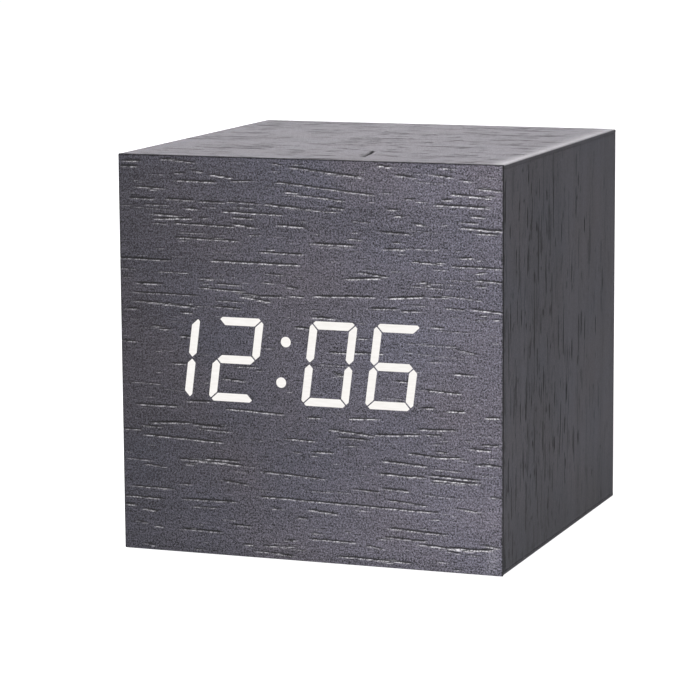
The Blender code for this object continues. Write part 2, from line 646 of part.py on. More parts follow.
contact("contact_plus", 1, [cells[0]], [])
contact("contact_bridge_a", -1, [cells[1]], [cells[0]])
contact("contact_bridge_b", 1, [cells[2]], [cells[1]])
contact("contact_minus", -1, [], [cells[2]])
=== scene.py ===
"""Looks of the cube alarm clock: stained open-pore veneer, lit digits, and a
detailed rear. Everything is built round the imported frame, in metres."""

import json
import math

import bmesh
import bpy
import numpy as np
from mathutils import Matrix, Vector


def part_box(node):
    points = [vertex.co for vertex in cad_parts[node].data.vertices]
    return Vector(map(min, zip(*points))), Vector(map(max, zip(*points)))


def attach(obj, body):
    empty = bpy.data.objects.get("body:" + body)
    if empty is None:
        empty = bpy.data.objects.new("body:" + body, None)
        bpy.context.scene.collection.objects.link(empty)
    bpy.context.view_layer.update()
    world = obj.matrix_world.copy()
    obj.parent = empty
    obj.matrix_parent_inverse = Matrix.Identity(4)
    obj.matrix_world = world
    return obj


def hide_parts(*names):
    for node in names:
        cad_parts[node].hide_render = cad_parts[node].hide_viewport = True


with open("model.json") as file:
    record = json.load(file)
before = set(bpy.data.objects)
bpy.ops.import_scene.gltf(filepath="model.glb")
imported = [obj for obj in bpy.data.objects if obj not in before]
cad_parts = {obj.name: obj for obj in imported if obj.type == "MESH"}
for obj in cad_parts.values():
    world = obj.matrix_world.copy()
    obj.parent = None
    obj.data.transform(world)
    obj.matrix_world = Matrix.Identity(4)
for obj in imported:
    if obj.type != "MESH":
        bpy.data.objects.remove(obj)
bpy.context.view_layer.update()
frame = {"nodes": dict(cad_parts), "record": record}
MM = 0.001
RNG = np.random.RandomState(1206)

# ------------------------------------------------------------------ frame
F_LO, F_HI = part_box("veneer_front")
T_LO, T_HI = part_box("veneer_top")
X0, X1 = F_LO.x / MM, F_HI.x / MM          # -30, 30
Z0, Z1 = F_LO.z / MM, F_HI.z / MM          # 0.8, 60.8
YF = F_LO.y / MM                           # front plane
YB = T_HI.y / MM                           # rear plane
ZC = (Z0 + Z1) / 2
SIDE = X1 - X0


# -------------------------------------------------------------- materials
class Nodes:
    """A small helper round one material's node tree. Positions are in
    millimetres of the object's own space, which is the row frame at rest."""

    def __init__(self, name, rough=0.6, metal=0.0, spec=0.5):
        self.m = bpy.data.materials.new(name)
        self.m.use_nodes = True
        self.t = self.m.node_tree
        self.b = self.t.nodes["Principled BSDF"]
        self.b.inputs["Roughness"].default_value = rough
        self.b.inputs["Metallic"].default_value = metal
        self.b.inputs["Specular IOR Level"].default_value = spec
        tc = self.t.nodes.new("ShaderNodeTexCoord")
        sc = self.t.nodes.new("ShaderNodeVectorMath")
        sc.operation = "SCALE"
        sc.inputs["Scale"].default_value = 1000.0
        self.t.links.new(tc.outputs["Object"], sc.inputs[0])
        self.mm = sc.outputs[0]

    def link(self, a, b):
        self.t.links.new(a, b)

    def stretch(self, sx, sy, sz, off=(0, 0, 0), src=None):
        n = self.t.nodes.new("ShaderNodeMapping")
        n.inputs["Scale"].default_value = (sx, sy, sz)
        n.inputs["Location"].default_value = off
        self.link(src or self.mm, n.inputs["Vector"])
        return n.outputs[0]

    def noise(self, vec, scale=1.0, detail=2.0, rough=0.5, distort=0.0):
        n = self.t.nodes.new("ShaderNodeTexNoise")
        n.inputs["Scale"].default_value = scale
        n.inputs["Detail"].default_value = detail
        n.inputs["Roughness"].default_value = rough
        n.inputs["Distortion"].default_value = distort
        self.link(vec, n.inputs["Vector"])
        return n.outputs["Fac"]

    def voronoi(self, vec, scale=1.0, out="Distance"):
        n = self.t.nodes.new("ShaderNodeTexVoronoi")
        n.inputs["Scale"].default_value = scale
        self.link(vec, n.inputs["Vector"])
        return n.outputs[out]

    def remap(self, v, a, b, lo=0.0, hi=1.0):
        n = self.t.nodes.new("ShaderNodeMapRange")
        n.clamp = True
        self.link(v, n.inputs["Value"])
        n.inputs["From Min"].default_value = a
        n.inputs["From Max"].default_value = b
        n.inputs["To Min"].default_value = lo
        n.inputs["To Max"].default_value = hi
        return n.outputs[0]

    def math(self, op, a, b=None):
        n = self.t.nodes.new("ShaderNodeMath")
        n.operation = op
        for i, v in enumerate((a, b)):
            if v is None:
                continue
            if isinstance(v, (int, float)):
                n.inputs[i].default_value = v
            else:
                self.link(v, n.inputs[i])
        return n.outputs[0]

    def ramp(self, v, *stops):
        n = self.t.nodes.new("ShaderNodeValToRGB")
        e = n.color_ramp.elements
        while len(e) < len(stops):
            e.new(0.5)
        for k, (p, c) in zip(e, stops):
            k.position = p
            k.color = (*c, 1.0)
        self.link(v, n.inputs[0])
        return n.outputs[0]

    def mix(self, f, a, b, mode="MIX"):
        n = self.t.nodes.new("ShaderNodeMix")
        n.data_type = "RGBA"
        n.blend_type = mode
        for sock, v in ((n.inputs[0], f), (n.inputs[6], a), (n.inputs[7], b)):
            if isinstance(v, (int, float)):
                sock.default_value = v
            elif isinstance(v, tuple):
                sock.default_value = (*v, 1.0)
            else:
                self.link(v, sock)
        return n.outputs[2]

    def scale_color(self, col, v):
        """The colour times the number v."""
        n = self.t.nodes.new("ShaderNodeVectorMath")
        n.operation = "SCALE"
        self.link(col, n.inputs[0])
        self.link(v, n.inputs["Scale"])
        return n.outputs[0]

    def attr(self, name):
        n = self.t.nodes.new("ShaderNodeAttribute")
        n.attribute_name = name
        return n.outputs["Fac"]

    def axis(self, which, src=None):
        n = self.t.nodes.new("ShaderNodeSeparateXYZ")
        self.link(src or self.mm, n.inputs[0])
        return n.outputs[which]

    def bump(self, height, dist_mm, strength=1.0, after=None):
        n = self.t.nodes.new("ShaderNodeBump")
        n.inputs["Strength"].default_value = strength
        n.inputs["Distance"].default_value = dist_mm * MM
        self.link(height, n.inputs["Height"])
        if after is not None:
            self.link(after, n.inputs["Normal"])
        return n.outputs[0]

    def color(self, c):
        self.link(c, self.b.inputs["Base Color"])

    def rough(self, v):
        self.link(v, self.b.inputs["Roughness"])

    def normal(self, v):
        self.link(v, self.b.inputs["Normal"])


def veneer_material(name, along, base, speckle, streak, rough=0.5, seed=0.0,
                    bump=1.0, spec=0.5, tones=0.2, grain=2.3, edge_highlight=None,
                    side=0.0, glint_color=None, dark=0.8, dull=-0.04):
    """Open-pore veneer stained black. along is 0, 1 or 2, the grain's axis. Besides
    stain and grain, the colour carries painted light: an optional left-to-right
    ramp that is also lighter at the foot, pale highlights on the groove edges and
    along one edge of the top, and painted shade towards the foot of faces whose
    grain runs up.
    """
    n = Nodes(name, rough, spec=spec)

    def st(g, a):
        v = [a, a, a]
        v[along] = g
        return v

    off = (seed * 7.3, seed * 3.1, seed * 5.7)
    low = n.noise(n.stretch(*st(0.018, 0.05), off=off), 1.0, 2.0, 0.5)
    band = n.noise(n.stretch(*st(0.012, 0.33), off=off), 1.0, 3.0, 0.55, 0.4)
    fibre = n.noise(n.stretch(*st(0.5, 3.4), off=off), 1.0, 2.0, 0.65, 0.4)
    fine = n.noise(n.stretch(1.0, 1.0, 1.0, off=off), grain, 3.0, 0.75)
    fine2 = n.noise(n.stretch(1.0, 1.0, 1.0, off=(3, 5, 9)), grain * 1.9, 1.0,
                    0.6)
    marks = n.noise(n.stretch(*st(0.16, 1.5), off=(9.1, 2.2, 4.4)), 1.0, 2.0,
                    0.5, 0.2)
    tone = n.math("ADD", n.remap(low, 0.3, 0.7, -tones, tones),
                  n.remap(band, 0.3, 0.7, -0.13, 0.13))
    tone = n.math("ADD", tone, n.remap(fibre, 0.3, 0.7, -0.35 * speckle,
                                       0.35 * speckle))
    tone = n.math("ADD", tone, n.remap(fine, 0.38, 0.62, -speckle, speckle))
    tone = n.math("ADD", tone, n.remap(fine2, 0.36, 0.64, -speckle * 0.6,
                                       speckle * 0.6))
    tone = n.math("ADD", tone, n.remap(marks, 0.60, 0.72, 0.0, -streak))
    pore = n.attr("pore")
    scar = n.remap(pore, 1.1, 2.0, 0.0, 1.0)
    tone = n.math("ADD", tone, 1.0)
    tone = n.math("MULTIPLY", tone, n.remap(pore, 0.03, 0.85, 1.0, 1 - dark))
    tone = n.math("MULTIPLY", tone, n.remap(scar, 0.0, 1.0, 1.0, 0.2))
    # painted light: the colour ramps darker to the left and lighter to the right,
    # and lighter towards the foot, up to 1.22 times in the lowest 18 mm
    if side:
        tone = n.math("MULTIPLY", tone, n.remap(n.axis(0), -30, 30, 1 - side,
                                                1 + side))
        tone = n.math("MULTIPLY", tone, n.remap(n.axis(2), 1, 18, 1.22, 1.0))
    # painted shade: faces whose grain runs up are darker towards the foot, down to
    # 0.62 times at the bottom over 13 mm
    if along == 2:
        tone = n.math("MULTIPLY", tone, n.remap(n.axis(2), 0, 13, 0.62, 1.0))
    tone = n.math("MAXIMUM", tone, 0.04)
    hue = n.noise(n.stretch(0.08, 0.08, 0.08, off=(4, 4, 4)), 1.0, 1.0, 0.5)
    b = base
    col = n.ramp(hue, (0.3, (b[0] * 0.97, b[1] * 0.985, b[2] * 1.02)),
                 (0.7, (b[0] * 1.04, b[1] * 1.0, b[2] * 0.985)))
    col = n.scale_color(col, tone)
    # painted highlight: the groove edges are mixed towards a pale colour, stronger
    # to the right (0.62 to 1.22 times)
    if glint_color:
        glint_amount = n.math("MULTIPLY", n.attr("lip_glint"),
                        n.remap(fine, 0.42, 0.58, 0.25, 1.3))
        glint_amount = n.math("MULTIPLY", glint_amount,
                        n.remap(n.axis(0), -30, 30, 0.62, 1.22))
        col = n.mix(glint_amount, col, glint_color)
    # painted highlight: a pale colour mixed in along an edge, broken up by the
    # fibre noise
    if edge_highlight:
        edge_glint = n.math("MULTIPLY", n.attr("edge_highlight"),
                      n.remap(fibre, 0.3, 0.7, 0.75, 1.15))
        col = n.mix(edge_glint, col, edge_highlight)
    n.color(col)
    r = n.math("ADD", n.remap(fine, 0.3, 0.7, rough - 0.06, rough + 0.08),
               n.remap(pore, 0.0, 1.0, 0.0, dull))
    r = n.math("ADD", r, n.math("MULTIPLY", scar, 0.5))
    n.rough(r)
    h = n.math("ADD", n.math("MULTIPLY", fine, 1.0),
               n.math("MULTIPLY", fine2, 0.35))
    h = n.math("ADD", h, n.math("MULTIPLY", fibre, 0.45))
    n.normal(n.bump(h, 0.11 * bump, 1.0))
    return n.m


FRONT_BASE = (0.0665, 0.0635, 0.0795)
# the front carries a painted light ramp, 0.58 to 1.42 times its base colour from
# left to right, and painted highlights along its grooves
M_FRONT = veneer_material("stained_veneer_front", 0, FRONT_BASE, 0.85, 0.0,
                          rough=0.42, tones=0.14, bump=2.2, grain=3.9,
                          side=0.42, spec=0.2, glint_color=(0.84, 0.82, 0.86),
                          dark=0.95)
# painted light and shade: the same veneer, given a lighter base colour on the top
# and darker ones on the right and left, as lit and shaded copies
M_TOP_LIT = veneer_material("stained_veneer_top_painted_light", 0, (0.077, 0.072, 0.085), 0.42,
                        0.3, rough=0.45, seed=1.0, bump=0.75,
                        edge_highlight=(0.66, 0.65, 0.67), dull=0.05, dark=0.8)
M_BOTTOM = veneer_material("stained_veneer_bottom", 0, FRONT_BASE, 0.20, 0.2,
                           rough=0.55, seed=2.0, bump=0.6)
M_RIGHT_SHADED = veneer_material("stained_veneer_right_painted_shade", 2, (0.0515, 0.0505, 0.0605),
                          0.17, 0.30, rough=0.65, seed=3.0, bump=0.4,
                          spec=0.08, tones=0.06, dark=0.82)
M_LEFT_SHADED = veneer_material("stained_veneer_left_painted_shade", 2, (0.056, 0.0545, 0.063),
                         0.06, 0.30, rough=0.6, seed=4.0, bump=0.4,
                         spec=0.2, tones=0.06)


M_EDGE = veneer_material("veneer_cut_edge", 1, (0.030, 0.029, 0.033), 0.35,
                         0.2, rough=0.75, seed=5.0, bump=0.6, spec=0.05,
                         tones=0.1)


def plastic(name, base, rough=0.5, grain=2.5, depth=0.02, vary=0.12,
            spec=0.5):
    """Moulded plastic with a spark-eroded texture and slight handling wear."""
    n = Nodes(name, rough, spec=spec)
    a = n.noise(n.mm, grain, 2.0, 0.6)
    w = n.noise(n.stretch(0.12, 0.12, 0.12, off=(2, 7, 1)), 1.0, 3.0, 0.6)
    d = n.noise(n.stretch(6, 6, 6, off=(1, 1, 3)), 1.0, 1.0, 0.5)
    t = n.math("ADD", n.remap(a, 0.3, 0.7, 1.0 - vary, 1.0 + vary),
               n.remap(w, 0.35, 0.65, -vary * 0.6, vary * 0.6))
    col = n.ramp(w, (0.3, base), (0.75, tuple(c * 1.08 for c in base)))
    n.color(n.scale_color(col, t))
    n.rough(n.remap(w, 0.3, 0.7, rough - 0.06, rough + 0.08))
    n.normal(n.bump(n.math("ADD", a, n.math("MULTIPLY", d, 0.4)), depth, 0.7))
    return n.m


def metal(name, base, rough=0.3, brushed=None, stain=0.15):
    n = Nodes(name, rough, 1.0)
    sc = [3.0, 3.0, 3.0]
    if brushed is not None:
        sc = [18.0, 18.0, 18.0]
        sc[brushed] = 0.5
    a = n.noise(n.stretch(*sc), 1.0, 2.0, 0.6)
    w = n.noise(n.stretch(0.5, 0.5, 0.5, off=(5, 3, 8)), 1.0, 3.0, 0.6)
    t = n.math("ADD", n.remap(a, 0.3, 0.7, 0.9, 1.05),
               n.remap(w, 0.3, 0.7, -stain, stain * 0.3))
    col = n.ramp(w, (0.3, tuple(c * 0.93 for c in base)), (0.7, base))
    n.color(n.scale_color(col, t))
    n.rough(n.remap(a, 0.3, 0.7, rough - 0.07, rough + 0.1))
    n.normal(n.bump(a, 0.006, 0.6))
    return n.m


def fibreboard(name):
    """Raw edge of fibreboard, rubbed with the same dark stain as the case."""
    n = Nodes(name, 0.85, spec=0.2)
    a = n.noise(n.stretch(1.0, 3.5, 1.0), 2.2, 4.0, 0.65, 0.6)
    b = n.voronoi(n.mm, 5.0)
    w = n.noise(n.stretch(0.09, 0.09, 0.09, off=(1, 8, 5)), 1.0, 3.0, 0.6)
    col = n.ramp(a, (0.25, (0.045, 0.036, 0.030)), (0.5, (0.085, 0.064, 0.048)),
                 (0.78, (0.15, 0.112, 0.080)))
    col = n.mix(n.remap(w, 0.45, 0.7, 0.0, 0.55), col, (0.035, 0.032, 0.033))
    n.color(col)
    n.normal(n.bump(n.math("ADD", a, b), 0.06, 0.7))
    return n.m


def softwood(name):
    n = Nodes(name, 0.7, spec=0.3)
    g = n.noise(n.stretch(1.6, 0.12, 1.6), 1.0, 3.0, 0.6, 1.2)
    f = n.noise(n.stretch(9, 0.5, 9), 1.0, 2.0, 0.6)
    col = n.ramp(g, (0.3, (0.50, 0.33, 0.17)), (0.55, (0.62, 0.45, 0.26)),
                 (0.75, (0.42, 0.25, 0.12)))
    n.color(n.scale_color(col, n.remap(f, 0.3, 0.7, 0.88, 1.08)))
    n.normal(n.bump(f, 0.04, 0.6))
    return n.m


def foam(name):
    n = Nodes(name, 0.9, spec=0.25)
    v = n.voronoi(n.mm, 3.2)
    a = n.noise(n.mm, 6.0, 2.0, 0.6)
    n.color(n.ramp(v, (0.0, (0.010, 0.010, 0.011)), (0.6, (0.032, 0.032, 0.034))))
    n.normal(n.bump(n.math("ADD", v, n.math("MULTIPLY", a, 0.4)), 0.08, 0.8))
    return n.m


def board(name):
    """Solder mask over copper tracks."""
    n = Nodes(name, 0.35, spec=0.55)
    cell = n.voronoi(n.stretch(0.42, 0.42, 0.42), 1.0)
    w = n.noise(n.stretch(0.6, 0.6, 0.6), 1.0, 2.0, 0.5)
    tr = n.remap(cell, 0.42, 0.46, 0.0, 1.0)
    col = n.mix(tr, (0.008, 0.085, 0.030), (0.014, 0.16, 0.055))
    n.color(n.scale_color(col, n.remap(w, 0.3, 0.7, 0.85, 1.12)))
    n.normal(n.bump(tr, 0.03, 0.5))
    return n.m


def frosted(name, base=(0.85, 0.85, 0.83), rough=0.4):
    n = Nodes(name, rough)
    a = n.noise(n.mm, 2.0, 3.0, 0.6)
    n.color(n.ramp(a, (0.3, tuple(c * 0.94 for c in base)), (0.7, base)))
    n.rough(n.remap(a, 0.3, 0.7, rough - 0.08, rough + 0.1))
    n.normal(n.bump(a, 0.01, 0.5))
    return n.m


def ribbon_mat(name):
    n = Nodes(name, 0.5)
    x = n.axis(0)
    ph = n.math("FRACT", n.math("MULTIPLY", x, 1.0))
    core = n.remap(n.math("ABSOLUTE", n.math("SUBTRACT", ph, 0.5)), 0.3, 0.5,
                   0.0, 1.0)
    col = n.mix(core, (0.46, 0.46, 0.48), (0.20, 0.20, 0.22))
    n.color(col)
    n.normal(n.bump(core, 0.12, 0.6))
    return n.m


def jacket(name, flip=False):
    """Cell jacket: a wide band, a metallic band at the positive end, and fine
    scuffs. The bands follow the cell's height."""
    n = Nodes(name, 0.32, 0.25)
    z = n.math("SUBTRACT", n.axis(2), ZC)
    if flip:
        z = n.math("MULTIPLY", z, -1.0)
    w = n.noise(n.stretch(1.2, 1.2, 0.25), 1.0, 3.0, 0.65)
    f = n.noise(n.stretch(9, 9, 1.0), 1.0, 2.0, 0.6)
    dark, pale = (0.035, 0.055, 0.085), (0.60, 0.61, 0.62)
    band = n.remap(z, 10.5, 10.7, 0.0, 1.0)
    ring = n.math("MULTIPLY", n.remap(z, 8.8, 8.9, 0.0, 1.0),
                  n.remap(z, 9.5, 9.6, 1.0, 0.0))
    col = n.mix(band, dark, pale)
    col = n.mix(ring, col, (0.55, 0.56, 0.58))
    cap = n.math("GREATER_THAN", n.math("ABSOLUTE", z), 21.25)
    col = n.mix(cap, col, (0.66, 0.65, 0.62))
    n.color(n.scale_color(col, n.remap(w, 0.3, 0.7, 0.9, 1.08)))
    n.rough(n.remap(f, 0.3, 0.7, 0.25, 0.42))
    n.normal(n.bump(w, 0.01, 0.4))
    return n.m


def insulation(name, base):
    n = Nodes(name, 0.42)
    a = n.noise(n.mm, 1.4, 2.0, 0.6)
    n.color(n.ramp(a, (0.3, tuple(c * 0.85 for c in base)), (0.7, base)))
    n.normal(n.bump(a, 0.02, 0.5))
    return n.m


def glow(name):
    """Even warm white light that comes through the thin front skin. The
    surface keeps the veneer's faint fibres."""
    n = Nodes(name, 1.0, spec=0.0)
    n.b.inputs["Base Color"].default_value = (0.0, 0.0, 0.0, 1.0)
    a = n.noise(n.stretch(0.5, 3.0, 3.0), 1.0, 2.0, 0.6)
    col = n.ramp(a, (0.35, (0.93, 0.90, 0.87)), (0.6, (0.98, 0.955, 0.93)))
    n.link(col, n.b.inputs["Emission Color"])
    n.b.inputs["Emission Strength"].default_value = 1.0
    return n.m


# ----------------------------------------------------------- veneer relief
def strokes_on(us, vs, strokes, up=1.0, low=1.0, wave=1.0):
    """Pore grooves as maps over the lattice. Each stroke is (u0, v0, u1, v1,
    width, depth) and runs mostly along u. up and low widen the two walls.
    Returns (depth, dark, glint): how deep; how dark the groove's bottom and upper
    wall are, the bottom for the stain in the pore and the upper wall also as
    painted shade; and how strong the painted highlight along its lower edge is."""
    H, D, L = (np.zeros((len(us), len(vs))) for _ in range(3))
    for u0, v0, u1, v1, w, d in strokes:
        if u1 < u0:
            u0, v0, u1, v1 = u1, v1, u0, v0
        i0 = np.searchsorted(us, u0 - 0.5)
        i1 = np.searchsorted(us, u1 + 0.5)
        m = 6 * w + abs(v1 - v0) + 0.5
        j0 = np.searchsorted(vs, min(v0, v1) - m)
        j1 = np.searchsorted(vs, max(v0, v1) + m)
        if i1 <= i0 or j1 <= j0:
            continue
        U = us[i0:i1, None]
        V = vs[None, j0:j1]
        t = np.clip((U - u0) / max(u1 - u0, 1e-6), 0, 1)
        ph = RNG.uniform(0, 6.28, 5)
        wig = wave * (0.09 * np.sin(U * 1.1 + ph[0])
                      + 0.06 * np.sin(U * 2.7 + ph[1]))
        vc = v0 + (v1 - v0) * t + wig * min(1.0, (u1 - u0) / 6.0)
        end = np.clip((U - u0 + 0.3) / 0.5, 0, 1) * np.clip(
            (u1 - U + 0.3) / 0.5, 0, 1)
        brk = 0.72 + 0.28 * np.sin(U * 3.1 + ph[2]) * np.sin(U * 1.3 + ph[0])
        dots = np.clip(0.60 + 0.40 * np.sin(U * 2.3 + ph[3])
                       + 0.50 * np.sin(U * 4.4 + ph[4]), 0.10, 1.0)
        dv = V - vc
        wu, wl = w * up, w * low
        prof = np.exp(-(dv / np.where(dv > 0, wu, wl)) ** 2) * end * brk
        # darkening of the groove: the stain in the pore, shifted onto the upper
        # wall as painted shade
        dark = np.exp(-((dv - 0.9 * wu) / (1.45 * wu)) ** 2) * end * (
            0.55 + 0.45 * brk)
        # painted highlight along the groove's lower edge
        lip_glint = np.exp(-((dv + 0.80 * wl) / (0.50 * wl)) ** 2) * end * dots
        k = min(1.0, d / 0.07)
        sh = RNG.uniform(0.4, 1.0)
        for M, q in ((H, prof * d), (D, dark * k), (L, lip_glint * k * sh)):
            M[i0:i1, j0:j1] = np.maximum(M[i0:i1, j0:j1], q)
    return H, D, L


def lattice(a, b, n, edge):
    """n even steps from a to b, with extra lines where the edge is round."""
    inner = np.linspace(a + edge, b - edge, n)
    k = edge * (1 - np.cos(np.linspace(0, math.pi / 2, 5)))[:-1]
    return np.concatenate([a + k, inner, (b - k)[::-1]])


def edge_drop(us, vs, r, sides=(1, 1, 1, 1)):
    """How far a rounded edge falls away, for the sides u-, u+, v-, v+."""
    fu, fv = np.full(len(us), 1e3), np.full(len(vs), 1e3)
    du = np.minimum(us - us[0] if sides[0] else fu,
                    us[-1] - us if sides[1] else fu)
    dv = np.minimum(vs - vs[0] if sides[2] else fv,
                    vs[-1] - vs if sides[3] else fv)
    a = np.clip(r - du, 0, None)[:, None]
    b = np.clip(r - dv, 0, None)[None, :]
    q = np.sqrt(np.clip(r * r - a * a - b * b, 0, None))
    return r - q


def waves(us, vs, amp, su, sv, seed):
    """Slow, smooth unevenness of the glued skin."""
    rs = np.random.RandomState(seed)
    H = np.zeros((len(us), len(vs)))
    for _ in range(14):
        fu, fv = rs.uniform(-1, 1) * su, rs.uniform(0.3, 1) * sv
        ph = rs.uniform(0, 6.28)
        H += np.sin(us[:, None] * fu + vs[None, :] * fv + ph)
    return H * amp / 3.7


def panel(name, origin, U, V, us, vs, H, thick, pore, mat, node,
          extra=(), edge=None, rim=0.9):
    """A closed skin: the face is the lattice us x vs raised by H along U x V,
    its back is flat, thick below the face. All in millimetres."""
    pore = pore.copy()
    pore[0, :] = pore[-1, :] = pore[:, 0] = pore[:, -1] = rim
    N = Vector(U).cross(Vector(V))
    U, V, N, O = (np.array(q, float) for q in (U, V, N, origin))
    nu, nv = len(us), len(vs)
    P = (O + us[:, None, None] * U + vs[None, :, None] * V
         + H[:, :, None] * N).reshape(-1, 3)
    per = ([(i, 0) for i in range(nu)] + [(nu - 1, j) for j in range(1, nv)]
           + [(i, nv - 1) for i in range(nu - 2, -1, -1)]
           + [(0, j) for j in range(nv - 2, 0, -1)])
    ring = np.array([O + us[i] * U + vs[j] * V - thick * N for i, j in per])
    mid = (O + us.mean() * U + vs.mean() * V - thick * N)[None]
    co = np.concatenate([P, ring, mid]) * MM
    idx = np.arange(nu * nv).reshape(nu, nv)
    quads = np.stack([idx[:-1, :-1], idx[1:, :-1], idx[1:, 1:], idx[:-1, 1:]],
                     -1).reshape(-1, 4)
    base = nu * nv
    k = len(per)
    top = np.array([idx[i, j] for i, j in per])
    nxt = np.roll(np.arange(k), -1)
    wall = np.stack([top, base + np.arange(k), base + nxt, top[nxt]], -1)
    fan = np.stack([np.full(k, base + k), base + nxt, base + np.arange(k)], -1)
    me = bpy.data.meshes.new(name)
    faces = quads.tolist() + wall.tolist() + fan.tolist()
    me.from_pydata(co.tolist(), [], faces)
    me.update()
    a = me.attributes.new("pore", "FLOAT", "POINT")
    full = np.zeros(len(co), np.float32)
    full[:nu * nv] = pore.reshape(-1)
    full[base:] = rim
    a.data.foreach_set("value", full)
    for key, val in extra:
        a = me.attributes.new(key, "FLOAT", "POINT")
        full = np.zeros(len(co), np.float32)
        full[:nu * nv] = val.reshape(-1)
        a.data.foreach_set("value", full)
    me.shade_smooth()
    me.set_sharp_from_angle(angle=math.radians(58))
    o = bpy.data.objects.new(name, me)
    bpy.context.scene.collection.objects.link(o)
    me.materials.append(mat)
    me.materials.append(edge or M_EDGE)
    me.polygons.foreach_set("material_index", np.repeat(
        (0, 1), (len(quads), len(wall) + len(fan))).astype(np.int32))
    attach(o, "root")
    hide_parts(node)
    return o


